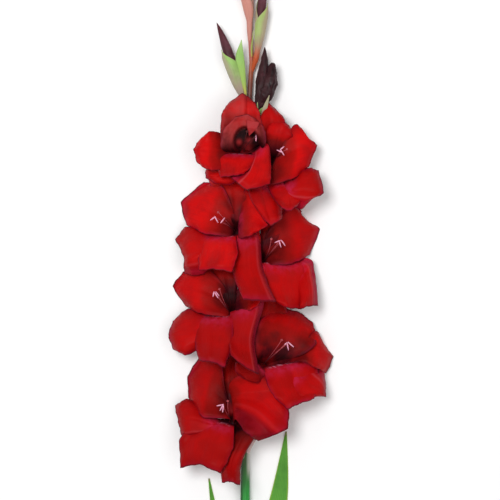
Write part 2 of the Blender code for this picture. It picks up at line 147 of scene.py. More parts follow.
# How far its edges stand in front of its middle, in mm, halfway out and at its tip.
CUP = {"upper": (6.0, -2.0), "lower": (-7.0, -7.0)}
LOWER_TONE = 0.86
TURN_DROP = 4.5 * MM
EDGE_ROLL = 2.4 * MM

# Bloom: root of its throat (across, down), height of that root in mm, where it leaves the stem (down), the
# lean of its axis to the right and up the spike, the end of its style, and its anthers from one end to the
# other, seen from above (across, down, across, down). A fold is a blade that hangs from a petal, with its
# heights above that petal, and blades are free bracts; both have the form described at the buds.
# Petal: tip (how far to the right of the root, up the spike and along the axis it lies, and how far the
# petal's middle bulges forward, in mm) and outline seen from above (across, down): three points out along
# its clockwise edge, the tip, and three points back along its other edge. Where a petal differs from the
# rest it has more: cup; sunk (how much deeper than its line it lies, in mm); shade (painted shade: how much
# less of it is bright); tone (how light it is beside the lightest ones); dusty; the painted fold highlight
# (on or off; lower petals have it unless set otherwise); and turned, for a side that is turned back (where
# the turn starts, from -1 at the clockwise edge to 1 at the other, how much painted magenta sheen it has
# and how much painted shade).
BLOOMS = {
    "1": dict(
        root=(244, 152), height=24, leaves_stem=176, lean=(-0.06, 0.36), stigma=(247, 133),
        anthers=[(256, 136, 255.8, 141), (255.6, 137, 255.5, 141), (256.4, 137.5, 256.2, 141.5)],
        folds=[dict(on="upper_right", rises=(0.1, 0.4, -5.0), shape=dict(
            left=[(246.2, 120.5), (247.2, 128)], tip=(249.2, 135.5), right=[(260.0, 123.0), (256.8, 129)],
            crown=0.5, bright=0.5, dusty=0.7, tone=0.95, turned=0.2))],
        petals={
            "dorsal": dict(
                tip=(3, 62, 32, 9), cup=(9.0, 3.0), sunk=6.0, turned=(-0.06, 0.0, -0.22), dusty=0.55,
                outline=[(263, 140), (261, 118), (255, 101), (243, 91.5),
                         (229, 101), (221.5, 116), (223, 142)]),
            "upper_left": dict(
                tip=(-52, 3, 20, 6),
                outline=[(226, 136), (212, 131), (199, 139), (193.5, 149),
                         (197, 163), (212, 171), (232, 166)]),
            "lower_left": dict(
                tip=(-36, -34, 17, 4), sunk=5.0, shade=0.15,
                outline=[(228, 160), (212, 166), (205, 170), (206, 178), (216, 184), (234, 183), (243, 165)]),
            "lip": dict(
                tip=(-12, -33, 26, 6), cup=(-4.0, -4.0), sunk=-1.5, tone=0.94,
                outline=[(219, 153), (216, 164), (221, 178), (232, 177), (244, 175), (253, 165), (257, 155)]),
            "lower_right": dict(
                tip=(13, -41, 26, 7), turned=(-0.50, 0.60, 0.0), tone=0.94,
                outline=[(252, 153), (245, 169), (231, 178), (246.5, 191),
                         (270, 185), (271, 166), (266, 143)]),
            "upper_right": dict(
                tip=(25, 16, 30, 3), cup=(12.0, 4.0), sunk=-3.0, shade=0.22,
                turned=(-0.50, 0.0, 0.40), dusty=0.75,
                outline=[(263, 148), (265, 131), (257, 120), (247, 114), (236, 117), (223, 132), (224, 151)]),
        }),
    "2": dict(
        root=(275, 160), height=20, leaves_stem=204, lean=(0.26, 0.42), stigma=(286, 150),
        anthers=[(280.5, 149.5, 284, 146.5), (280.5, 150, 284, 155), (281, 152, 277, 150)],
        petals={
            "dorsal": dict(
                tip=(12, 41, 32, 4), cup=(0.0, -4.0), sunk=3.0, tone=0.88,
                outline=[(284, 147), (292, 137), (292, 127), (284, 120),
                         (273, 118), (264.5, 132), (268, 149)]),
            "upper_right": dict(
                tip=(44, 16, 24, 4), cup=(8.0, -3.0),
                outline=[(265, 183), (290, 180), (309, 166), (318, 144), (310, 138), (296, 123), (283, 142)]),
            "lower_right": dict(
                tip=(49, -33, 20, 4), turned=(-0.35, 0.35, 0.05), tone=0.74,
                outline=[(282, 196), (300, 209), (309, 200), (324, 193),
                         (319, 169.5), (305, 168), (290, 176)]),
            "lip": dict(
                tip=(16, -55, 22, 5), sunk=-1.0, shade=0.12,
                outline=[(268, 181), (272, 196), (282, 209), (289, 212), (297, 206), (305, 192), (298, 177)]),
            "lower_left": dict(
                tip=(-4, -67, 10, 4), turned=(0.76, 0.20, 0.20), tone=0.84,
                outline=[(254, 180), (249, 195), (263, 219), (271, 226), (282, 219), (281, 205), (270, 185)]),
            "upper_left": dict(
                tip=(-7, 60, 26, 2), tone=0.76,
                outline=[(277, 141), (285, 121), (279, 109.5), (268.5, 101),
                         (264, 108), (258, 124), (264, 146)]),
        }),
    "3": dict(
        root=(236, 232), height=20, leaves_stem=262, lean=(-0.36, 0.42), stigma=(219, 213),
        anthers=[(215, 217, 210.5, 220), (215, 217, 218, 222.5), (221, 222.5, 224.5, 218)],
        petals={
            "dorsal": dict(
                tip=(-14, 58, 30, 4), cup=(-2.0, -5.0), sunk=8.0, shade=0.14,
                outline=[(242, 221), (248, 197), (244, 181), (228, 172), (206, 175), (213, 191), (226, 215)]),
            "upper_left": dict(
                tip=(-58, 33, 20, 4), cup=(8.0, -2.0),
                outline=[(233, 211), (222, 185), (203, 180), (179, 201), (185, 224), (206, 234), (232, 236)]),
            "lower_left": dict(
                tip=(-63, -20, 20, 4), sunk=8.0, turned=(0.50, 0.25, 0.15), tone=0.80,
                outline=[(214, 235), (188, 226), (173.5, 239), (183, 257),
                         (183, 274), (203, 274), (222, 252)]),
            "lip": dict(
                tip=(-26, -42, 20, 5), cup=(-2.0, -2.5), sunk=-4.5, tone=1.0,
                outline=[(208, 235), (199, 250), (199, 271), (214, 269), (232, 272), (238, 253), (236, 237)]),
            "lower_right": dict(
                tip=(21, -73, 10, 4), turned=(0.72, 0.25, 0.15), tone=0.72,
                outline=[(232, 238), (231, 266), (243, 299), (258, 300),
                         (275.5, 301), (263, 269), (257, 232)]),
            "upper_right": dict(
                tip=(28, 24, 18, 4), painted_fold_highlight=True,
                outline=[(239, 238), (250, 236), (260, 230), (268.5, 225),
                         (255, 206), (246, 189), (238, 205)]),
        }),
    "4": dict(
        root=(263, 262), height=20, leaves_stem=298, lean=(0.38, 0.45), stigma=(271, 240),
        anthers=[(280, 240.5, 275, 242.5), (279, 241, 281, 247), (281.5, 240.5, 285, 245.5)],
        petals={
            "dorsal": dict(
                tip=(24, 58, 30, 4), cup=(-2.0, -5.0), sunk=7.0, shade=0.08,
                outline=[(286, 236), (301, 222), (303, 210), (292, 203), (275, 207), (262, 226), (260, 246)]),
            "upper_right": dict(
                tip=(59, 32, 22, 4), cup=(8.0, -1.0), tone=0.78,
                outline=[(268, 265), (292, 264), (311, 255), (322, 228.5),
                         (309, 221), (290, 206), (265, 238)]),
            "lower_right": dict(
                tip=(56, -43, 20, 4), turned=(0.50, 0.45, 0.20), tone=0.82,
                outline=[(288, 276), (298, 296), (299, 309.5), (307, 306.5), (318.5, 306), (315.5, 273),
                         (306, 258)]),
            "lip": dict(
                tip=(22, -49, 20, 5), sunk=-1.5, tone=0.82,
                outline=[(260, 264), (263, 288), (280, 305), (290, 308), (302, 309), (307, 284), (302, 262)]),
            "lower_left": dict(
                tip=(-16, -29, 14, 3),
                outline=[(258, 262), (250, 275), (247, 288), (254, 292), (264, 292), (268, 280), (268, 266)]),
            "upper_left": dict(
                tip=(-12, 32, 22, 2), shade=0.20,
                outline=[(262, 248), (261, 238), (259, 231), (254, 229), (250, 236), (252, 250), (258, 262)]),
        }),
    "5": dict(
        root=(231, 315), height=20, leaves_stem=348, lean=(-0.36, 0.46), stigma=(220, 290),
        anthers=[(214, 292, 213, 296.5), (215, 293, 218, 298), (216, 292, 219, 296)],
        petals={
            "dorsal": dict(
                tip=(-18, 58, 30, 4), cup=(-2.0, -5.0), sunk=8.0, shade=0.18, tone=0.9,
                outline=[(236, 297), (238, 278), (234, 262), (222, 256), (208, 262), (208, 280), (220, 300)]),
            "upper_left": dict(
                tip=(-60, 31, 16, 4), cup=(8.0, -2.0), tone=0.85,
                outline=[(226, 291), (206, 268), (182, 272), (170.5, 287),
                         (184, 307.5), (204, 315), (229, 317)]),
            "lower_left": dict(
                tip=(-64, -28, 20, 4), sunk=7.0, tone=0.76,
                outline=[(213, 317), (190, 309), (171.5, 322), (167, 336),
                         (172, 350), (190, 354.5), (212, 338)]),
            "lip": dict(
                tip=(-22, -54, 18, 5), cup=(-2.0, -3.0), sunk=-3.0, tone=0.64,
                outline=[(199, 317), (194, 336), (199, 360), (213, 361), (225, 366), (233, 342), (233, 317)]),
            "lower_right": dict(
                tip=(24, -62, 10, 4), shade=0.06, turned=(0.60, 0.30, 0.30), tone=0.63,
                outline=[(230, 313), (228, 335), (231, 354), (246, 366), (259, 373), (255, 338), (262, 300)]),
            "upper_right": dict(
                tip=(26, 26, 20, 2), sunk=7.0, shade=0.15,
                outline=[(236, 311), (247, 311), (258, 306), (263, 297), (256, 286), (244, 284), (234, 296)]),
        }),
    "6": dict(
        root=(262, 367), height=20, leaves_stem=400, lean=(0.42, 0.46), stigma=(281, 341),
        anthers=[(286, 343.5, 284, 346), (287, 343, 288.5, 350), (288.5, 342.5, 293.5, 347)],
        petals={
            "dorsal": dict(
                tip=(32, 62, 34, 5), cup=(10.0, 2.0), shade=0.18, tone=0.82,
                outline=[(296, 358), (316, 345), (314, 324), (298, 312), (272, 309), (255, 330), (257, 358)]),
            "upper_right": dict(
                tip=(74, 8, 22, 4), tone=0.84,
                outline=[(295, 362), (313, 367), (328, 376), (335, 359), (324, 344), (316, 332), (298, 345)]),
            "lower_right": dict(
                tip=(66, -33, 20, 4), turned=(0.40, 0.45, 0.20), tone=0.76,
                outline=[(285, 385), (300, 399), (316, 397), (326.5, 398),
                         (327, 383), (323, 367), (302, 360)]),
            "lip": dict(
                tip=(25, -45, 24, 5), tone=0.76,
                outline=[(263, 371), (270, 391), (287, 408.5), (299, 403),
                         (314, 399), (320, 380), (308, 360)]),
            "lower_left": dict(
                tip=(-24, -15, 12, 3), sunk=7.0, shade=0.40, tone=0.46,
                outline=[(254, 361), (243, 360), (235, 363), (235, 371), (244, 379), (258, 383), (268, 374)]),
            "upper_left": dict(
                tip=(-7, 59, 24, 2), shade=0.26,
                outline=[(275, 335), (287, 318), (286, 304), (270, 294), (254, 297), (252, 320), (255, 347)]),
        }),
    "7": dict(
        root=(232, 424), height=20, leaves_stem=456, lean=(-0.30, 0.46), stigma=(228, 402),
        anthers=[(223, 404.5, 217, 406), (223, 405, 220, 410.5), (223.5, 406, 222.5, 412)],
        blades=[dict(left=[(246.4, 455), (248.8, 446)], tip=(257.6, 440), right=[(249.2, 457), (252.4, 449)],
                     heights=(18, 20, 20), crown=0.6, papery=1.0)],
        petals={
            "dorsal": dict(
                tip=(-25, 67, 32, 4), cup=(-2.0, -5.0), sunk=13.0, shade=0.18, tone=0.80,
                outline=[(240, 412), (245, 385), (241, 362), (231, 355), (219, 362), (216, 388), (224, 412)]),
            "upper_left": dict(
                tip=(-49, 38, 16, 4), cup=(8.0, -2.0), tone=0.69,
                outline=[(225, 392), (220, 364), (197, 361), (186, 379), (187, 402), (203, 418), (229, 420)]),
            "lower_left": dict(
                tip=(-58, -10, 20, 4), sunk=3.5, turned=(0.72, 0.20, 0.20), tone=0.66,
                outline=[(215, 420), (189, 402), (173, 409), (177, 424), (181, 439), (195, 437), (218, 431)]),
            "lip": dict(
                tip=(-38, -45, 18, 5), cup=(-3.0, -4.0), sunk=-2.5, tone=0.66,
                outline=[(205, 421), (181, 437), (180.5, 468), (200, 463),
                         (221, 471), (233, 448), (234, 428)]),
            "lower_right": dict(
                tip=(2, -62, 12, 4), shade=0.40, tone=0.56, painted_fold_highlight=False,
                outline=[(229, 436), (221, 462), (222, 481), (231, 478.5),
                         (240, 483), (243, 458), (259, 424)]),
            "upper_right": dict(
                tip=(54, 12, 10, 4), shade=-0.22, turned=(-0.25, 0.10, 0.58), tone=0.78,
                outline=[(235, 420), (245, 431), (258, 441), (287.5, 428),
                         (289, 409), (263, 374), (229, 386)]),
        }),
}

# Stamens and style: height of the anthers over the throat's floor, and radii in mm at the foot and the end.
ANTHER_RISE = 24.0 * MM
FILAMENT_RADII = (0.42, 0.20)
STYLE_RADII = (0.45, 0.26)
STYLE_BRANCH_TURNS = (-0.8, 0.1, 0.9)
STYLE_BRANCH_RADII = (0.32, 0.36, 0.42, 0.46, 0.40)
ANTHER_RADIUS = 0.72
# Anthers as a share of their line's thickness, smaller in the half-open top bloom, and the pollen on them:
# radius of a grain in metres, and grains to the square metre.
ANTHER_SIZE = 0.92
TOP_ANTHER_SIZE = 0.42
POLLEN_RADIUS = 0.00009
POLLEN_DENSITY = 3.0e6

# The top bloom's throat seen from above, painted dark as shade: its middle (across, down), its half width and
# height, its depth in mm, and paler places of painted light in it: across, down, width, and how pale.
TOP_BLOOM = "1"
TOP_THROAT = dict(middle=(247.0, 141.0), half=(16.0, 14.0), depth=13.0,
                  painted_pit_lights=[(239.0, 141.5, 2.8, 0.9), (247.5, 147.5, 4.4, 1.0), (249.0, 139.5, 3.0, 0.7)])

# Bud: side of the stem, its line as (across, down, height in mm), its radius in mm, the length of its outer
# and inner bract as a share of that line, where the bracts grow narrower, and their foot on the stem. rosy
# and ember colour the bracts. body and lobe say how a bud is crumpled, dark, folded and swollen; the lobe is
# the dark bud's second body. blades are single bracts that stand free, seen from above: two points up each
# edge and the tip (across, down), heights from foot to tip in mm, how far the middle stands up, and what
# their finish reads.
BUDS = {
    "dark_right": dict(
        side=1, radius=7.1, bracts=(0.42, 0.30), body=dict(crumple=1.3, dark=1.0),
        line=[(256, 130, 11), (257.8, 108, 15), (265.6, 76, 17), (265, 43.5, 15)],
        lobe=dict(line=[(258, 108, 14), (264, 99, 19), (271, 86, 20), (273, 60, 18)], radius=7.6, folds=2,
                  crumple=2.2, seed=8.0, dark=1.0, swell=0.60, taper=0.36),
        blades=[dict(left=[(259.0, 120), (257.0, 109)], tip=(257.4, 101), right=[(260.6, 120), (258.8, 110)],
                     heights=(21, 25, 26), crown=0.3, fresh=0.3, blush=0.4),
                dict(left=[(259.6, 120), (262.6, 107)], tip=(269.5, 94), right=[(262.6, 120), (267.2, 108)],
                     heights=(22, 26, 27), crown=0.8, blush=0.7, fresh=0.2)]),
    "maroon_left": dict(
        side=-1, radius=5.4, bracts=(0.69, 0.45), narrows=0.60,
        line=[(244.5, 99, 10.4), (237, 78, 13), (228, 46, 14), (216, 18.5, 13)],
        blades=[dict(left=[(244.8, 93), (235.4, 58)], tip=(241.3, 37), right=[(246.8, 93), (244.8, 62)],
                     heights=(15, 19, 18), crown=1.6, fresh=1.0)]),
    "upper_right": dict(
        side=1, radius=4.6, bracts=(0.62, 0.70), narrows=0.66, ember=1.0, rosy=0.18, foot=(251.8, 68, 6.4),
        line=[(256, 55, 9.8), (260, 30, 12), (263, -5, 13), (266, -42, 13)],
        blades=[dict(left=[(251.0, 53), (251.0, 42)], tip=(253.6, 27), right=[(252.4, 53), (252.6, 42)],
                     heights=(9.2, 10.4, 13), crown=0.3, fresh=0.9, ember=0.2)]),
    "upper_left": dict(
        side=-1, radius=4.6, bracts=(0.80, 0.86), rosy=1.0, foot=(249.8, 37, 6.0),
        line=[(249.8, 24, 7.5), (250.4, 2, 10.5), (246.0, -20, 13), (236.5, -44, 14)]),
    "high_right": dict(
        side=1, radius=3.2, bracts=(0.80, 0.88), rosy=0.4, foot=(250.6, -2, 5.5),
        line=[(255, -13, 8.6), (257, -28, 9), (259, -46, 10), (261, -64, 10)]),
    "high_left": dict(
        side=-1, radius=2.5, bracts=(0.84, 0.92), rosy=0.3, foot=(249.8, -24, 5.2),
        line=[(245.6, -35, 8.2), (245, -48, 9), (244, -60, 9), (243, -74, 9)]),
}
# Grids of a bract's sheet, a free blade's sheet, a bud's body and a leaf, along and across.
BRACT_GRID = (48, 24)
BLADE_GRID = (28, 12)
BUD_GRID = (56, 48)
LEAF_GRID = (140, 32)
# Bud: where along it its body is thickest, how blunt its ends are, how far its petals wind round it, the
# steps between them, and how close together its lumps lie.
BUD_SWELL = 0.55
BUD_TAPER = 0.8
BUD_WINDING = 1.9
BUD_STEPS = (0.10, 0.08)
BUD_LUMPS = 130.0
# Bracts: half of how far each goes round, the lengths of a bloom's ones as shares of its tube, how much
# thinner they are than the CAD's, and their ridges (share of the radius, how many round).
BRACT_HALF_TURN = {"outer": 1.95, "inner": 1.75}
BLOOM_BRACTS = (0.80, 0.62)
BRACT_THINNING = 0.7
BRACT_RIDGES = (0.012, 14.0)
# A bud's bracts reach their foot over this share of the bud's line, and are slimmer there by this share.
FOOT_SHARE = 0.16
FOOT_SLIMMING = 0.42
# The foot of a bloom's bracts: how far below them it leaves the stem, and its radius in mm at the stem
# and at the bracts.
FOOT_DROP = 9.0
FOOT_RADII = (1.8, 4.5)

# Leaves: line as (across, down, height of the sheet in mm, half width in mm, opening).
# Opening is 0 where the leaf wraps the stem and 1 where it lies open.
LEAVES = {
    "left": [(243.0, 684, 2.2, 18, 0.0), (242.5, 655, 1.6, 17, 0.10), (240.0, 622, 0.6, 13, 0.85),
             (227.0, 575, 0.6, 9.0, 1.0), (215.0, 525, 0.6, 4.0, 1.0), (208.0, 484, 0.6, 0.6, 1.0)],
    "right": [(243.2, 668, 3.7, 14.5, 0.0), (243.8, 628, 3.6, 14.5, 0.0), (247.0, 595, 2.3, 13, 0.75),
              (268.0, 550, 0.6, 12.5, 1.0), (280.0, 500, 0.6, 9.0, 1.0), (287.0, 436, 0.6, 0.6, 1.0)],
}
# Radius in mm to which a leaf is bent where it wraps the stem and where it is open, and its least height.
LEAF_WRAP_RADIUS = {"left": 8.4, "right": 7.0}
LEAF_OPEN_RADIUS = 900.0
LEAF_LOWEST = 0.6

# Raised veins: how many across a piece, and their height.
VEINS = {"petal": (9.0, 0.00010), "bract": (8.0, 0.00008), "leaf": (5.0, 0.00018)}


# plan and curves

def plan(across, down, height):
    """Point at a plan position and at a height in mm."""
    return np.array([(across - PLAN_MIDDLE_ACROSS) * PLAN_STEP,
                     (PLAN_MIDDLE_DOWN - down) * PLAN_STEP,
                     height * MM])


def smooth(low, high, value):
    """0 below low, 1 above high, and an even ramp between."""
    share = np.clip((value - low) / (high - low), 0.0, 1.0)
    return share * share * (3.0 - 2.0 * share)


def mix(first, second, share):
    return first + (second - first) * share


def unit(vectors):
    length = np.linalg.norm(vectors, axis=-1, keepdims=True)
    return vectors / np.maximum(length, 1e-12)


def through(places, values, at):
    """Smooth curve through values at the given places."""
    places, values = np.array(places, float), np.array(values, float)
    gaps = np.diff(places)[:, None]
    rises = np.diff(values, axis=0) / gaps
    inner = (rises[:-1] * gaps[1:] + rises[1:] * gaps[:-1]) / (gaps[:-1] + gaps[1:])
    slopes = np.concatenate([rises[:1], inner, rises[-1:]])
    index = np.clip(np.searchsorted(places, at, side="right") - 1, 0, len(places) - 2)
    gap = gaps[index]
    share = ((at - places[index])[:, None]) / gap
    low, high = values[index], values[index + 1]
    low_slope, high_slope = slopes[index] * gap, slopes[index + 1] * gap
    return (low * (1 + 2 * share) * (1 - share) ** 2 + high * share ** 2 * (3 - 2 * share)
            + low_slope * share * (1 - share) ** 2 - high_slope * share ** 2 * (1 - share))


def bezier(points, share):
    """Points of the cubic curve with four control points."""
    share = np.asarray(share, float)[..., None]
    left = 1.0 - share
    return (points[0] * left ** 3 + points[1] * 3.0 * left * left * share
            + points[2] * 3.0 * left * share * share + points[3] * share ** 3)


def bezier_slope(points, share):
    share = np.asarray(share, float)[..., None]
    left = 1.0 - share
    return ((points[1] - points[0]) * left * left + (points[2] - points[1]) * 2.0 * left * share
            + (points[3] - points[2]) * share * share)


# meshes

class Pile:
    """Sheets and lofts gathered into one mesh, each point with its own values."""

    def __init__(self):
        self.points, self.faces, self.paint, self.values = [], [], [], {}
        self.count = 0

    def add(self, points, faces, paint, material=0, **values):
        self.points.append(points)
        self.faces.append((faces + self.count, material))
        self.paint.append(paint)
        for name in sorted(set(self.values) | set(values)):
            column = self.values.setdefault(name, [np.zeros(self.count)])
            column.append(np.broadcast_to(values.get(name, 0.0), (len(points),)).astype(float))
        self.count += len(points)

    def make(self, name, materials):
        mesh = bpy.data.meshes.new(name)
        points = np.concatenate(self.points)
        faces = np.concatenate([faces for faces, _ in self.faces])
        slots = np.concatenate([np.full(len(faces), slot) for faces, slot in self.faces])
        mesh.vertices.add(len(points))
        mesh.vertices.foreach_set("co", points.astype(np.float32).ravel())
        mesh.loops.add(faces.size)
        mesh.loops.foreach_set("vertex_index", faces.astype(np.int32).ravel())
        mesh.polygons.add(len(faces))
        mesh.polygons.foreach_set("loop_start", np.arange(0, faces.size, 4, dtype=np.int32))
        mesh.polygons.foreach_set("material_index", slots.astype(np.int32))
        mesh.update(calc_edges=True)
        layer = mesh.uv_layers.new(name="UVMap")
        paint = np.concatenate(self.paint)[faces.ravel()]
        layer.data.foreach_set("uv", paint.astype(np.float32).ravel())
        for key, columns in self.values.items():
            attribute = mesh.attributes.new(key, "FLOAT", "POINT")
            attribute.data.foreach_set("value", np.concatenate(columns).astype(np.float32))
        for material in materials:
            mesh.materials.append(material)
        mesh.validate()
        mesh.shade_smooth()
        piece = bpy.data.objects.new(name, mesh)
        bpy.context.scene.collection.objects.link(piece)
        return piece


def grid_faces(rows, columns, flip=False):
    """Quads of a grid of rows by columns points."""
    row, column = np.meshgrid(np.arange(rows - 1), np.arange(columns - 1), indexing="ij")
    corner = (row * columns + column).ravel()
    quads = np.stack([corner, corner + 1, corner + columns + 1, corner + columns], axis=1)
    return quads[:, ::-1] if flip else quads


def grid(size):
    """Shares along a sheet, and places across it from -1 at one edge to 1 at the other."""
    rows, columns = size
    return np.linspace(0.0, 1.0, rows + 1)[:, None], np.linspace(-1.0, 1.0, columns + 1)[None, :]


def grid_uv(along, side):
    return np.stack(np.broadcast_arrays((side + 1.0) / 2.0, along), axis=-1)


def add_shell(pile, points, front, thickness, paint, material=0, **values):
    """Thin closed solid on a grid of points. front points roughly out of its front face."""
    rows, columns = points.shape[:2]
    along = np.gradient(points, axis=0)
    across = np.gradient(points, axis=1)
    normal = unit(np.cross(across, along))
    flip = float((normal * front).sum(-1).mean()) < 0.0
    if flip:
        normal = -normal
    half = (thickness / 2.0)[..., None] if np.ndim(thickness) else thickness / 2.0
    both = np.concatenate([(points + normal * half).reshape(-1, 3), (points - normal * half).reshape(-1, 3)])
    layer = rows * columns
    faces = [grid_faces(rows, columns, flip), grid_faces(rows, columns, not flip) + layer]
    index = np.arange(layer).reshape(rows, columns)
    rim = np.concatenate([index[0, :-1], index[:-1, -1], index[-1, :0:-1], index[:0:-1, 0]])
    after = np.roll(rim, -1)
    wall = np.stack([rim, rim + layer, after + layer, after], axis=1)
    faces.append(wall[:, ::-1] if flip else wall)
    twice = {key: np.tile(np.broadcast_to(value, (rows, columns)).ravel(), 2)
             for key, value in values.items()}
    twice["back"] = np.repeat([0.0, 1.0], layer)
    pile.add(both, np.concatenate(faces), np.tile(paint.reshape(-1, 2), (2, 1)), material, **twice)


def add_loft(pile, rings, paint_length=1.0, material=0, **values):
    """Closed body through rings of points, with its two ends drawn together."""
    rows, columns = rings.shape[:2]
    first, last = rings[0].mean(0), rings[-1].mean(0)
    rings = np.concatenate([mix(rings[:1], first, 0.999), rings, mix(rings[-1:], last, 0.999)])
    rows += 2
    points = rings.reshape(-1, 3)
    row, column = np.meshgrid(np.arange(rows - 1), np.arange(columns), indexing="ij")
    corner = (row * columns + column).ravel()
    beside = (row * columns + (column + 1) % columns).ravel()
    faces = np.stack([corner, beside, beside + columns, corner + columns], axis=1)
    cap = np.arange(columns // 2 - 1)
    low = np.stack([cap, columns - 1 - cap, columns - 2 - cap, cap + 1], axis=1)
    high = (low + (rows - 1) * columns)[:, ::-1]
    along = np.linspace(0.0, paint_length, rows)
    around = np.linspace(0.0, 1.0, columns)
    paint = np.stack(np.meshgrid(around, along), axis=-1).reshape(-1, 2)
    spread = {key: np.broadcast_to(value, (rows - 2, columns)) for key, value in values.items()}
    spread = {key: np.concatenate([v[:1], v, v[-1:]]).ravel() for key, v in spread.items()}
    pile.add(points, np.concatenate([faces, low, high]), paint, material, **spread)


def face_outwards(piece):
    """Turns each closed body of a mesh to face out."""
    shape = bmesh.new()
    shape.from_mesh(piece.data)
    bmesh.ops.remove_doubles(shape, verts=shape.verts, dist=1e-7)
    bmesh.ops.recalc_face_normals(shape, faces=shape.faces)
    shape.to_mesh(piece.data)
    shape.free()


# node trees

class Nodes:
    """A tree built node by node. A socket takes a plain value or another node's socket."""

    def add(self, kind, sockets=None, **settings):
        node = self.tree.nodes.new(kind)
        for key, value in settings.items():
            setattr(node, key, value)
        for key, value in (sockets or {}).items():
            self.set(node.inputs[key], value)
        return node

    def set(self, socket, value):
        if isinstance(value, bpy.types.NodeSocket):
            self.tree.links.new(value, socket)
        else:
            socket.default_value = value

    def math(self, kind, first, second=0.0, third=0.5):
        return self.add("ShaderNodeMath", {0: first, 1: second, 2: third}, operation=kind).outputs[0]


# finishes

class Finish(Nodes):
    """A material that shows an object's own coordinates, UV map and values."""

    def __init__(self, name):
        self.material = bpy.data.materials.new(name)
        self.material.use_nodes = True
        self.tree = self.material.node_tree
        self.shader = self.tree.nodes["Principled BSDF"]
        self.place = self.add("ShaderNodeTexCoord").outputs["Object"]

    def blend(self, share, first, second, kind="MIX"):
        node = self.add("ShaderNodeMix", data_type="RGBA", blend_type=kind)
        self.set(node.inputs[0], share)
        self.set(node.inputs[6], (*first, 1.0) if isinstance(first, tuple) else first)
        self.set(node.inputs[7], (*second, 1.0) if isinstance(second, tuple) else second)
        return node.outputs[2]

    def ramp(self, value, stops, kind="EASE"):
        """Colour at a value, from stops of (value, colour)."""
        node = self.add("ShaderNodeValToRGB", {"Fac": value})
        node.color_ramp.interpolation = kind
        marks = node.color_ramp.elements
        while len(marks) < len(stops):
            marks.new(0.5)
        for mark, (place, colour) in zip(marks, stops):
            mark.position = place
            mark.color = (*colour, 1.0)
        return node.outputs["Color"]

    def fade(self, value, low, high, start=0.0, end=1.0):
        """start where the value is below low, end where it is above high, and an even ramp between."""
        sockets = {"Value": value, "From Min": low, "From Max": high, "To Min": start, "To Max": end}
        return self.add("ShaderNodeMapRange", sockets, clamp=True, interpolation_type="SMOOTHSTEP").outputs[0]

    def value(self, name):
        return self.add("ShaderNodeAttribute", attribute_name=name).outputs["Fac"]

    def grain(self, scale, detail, roughness, distortion=0.0, vector=None):
        sockets = {"Vector": vector or self.place, "Scale": scale, "Detail": detail, "Roughness": roughness,
                   "Distortion": distortion}
        return self.add("ShaderNodeTexNoise", sockets).outputs["Fac"]

    def fibres(self, across, along, detail, roughness=0.5, distortion=0.0):
        """Grain drawn out along the piece."""
        uv = self.add("ShaderNodeUVMap", uv_map="UVMap").outputs["UV"]
        stretched = self.add("ShaderNodeMapping", {"Vector": uv, "Scale": (across, along, 1.0)}).outputs[0]
        return self.grain(1.0, detail, roughness, distortion, stretched)

    def along(self):
        """How far along the piece a point lies."""
        uv = self.add("ShaderNodeUVMap", uv_map="UVMap").outputs["UV"]
        return self.add("ShaderNodeSeparateXYZ", {0: uv}).outputs[1]

    def bump(self, height, distance, strength, below=None):
        node = self.add("ShaderNodeBump", {"Height": height, "Distance": distance, "Strength": strength})
        if below is not None:
            self.set(node.inputs["Normal"], below)
        return node.outputs[0]

    def wear(self, **sockets):
        """Sets the shader's sockets and returns the finished material."""
        names = {"colour": "Base Color", "rough": "Roughness", "normal": "Normal",
                 "specular": "Specular IOR Level", "sheen": "Sheen Weight", "sheen_rough": "Sheen Roughness",
                 "sheen_tint": "Sheen Tint",
                 "under": "Subsurface Weight", "under_radius": "Subsurface Radius",
                 "under_scale": "Subsurface Scale", "coat": "Coat Weight", "coat_rough": "Coat Roughness"}
        for key, value in sockets.items():
            self.set(self.shader.inputs[names[key]], (*value, 1.0) if key == "sheen_tint" else value)
        return self.material


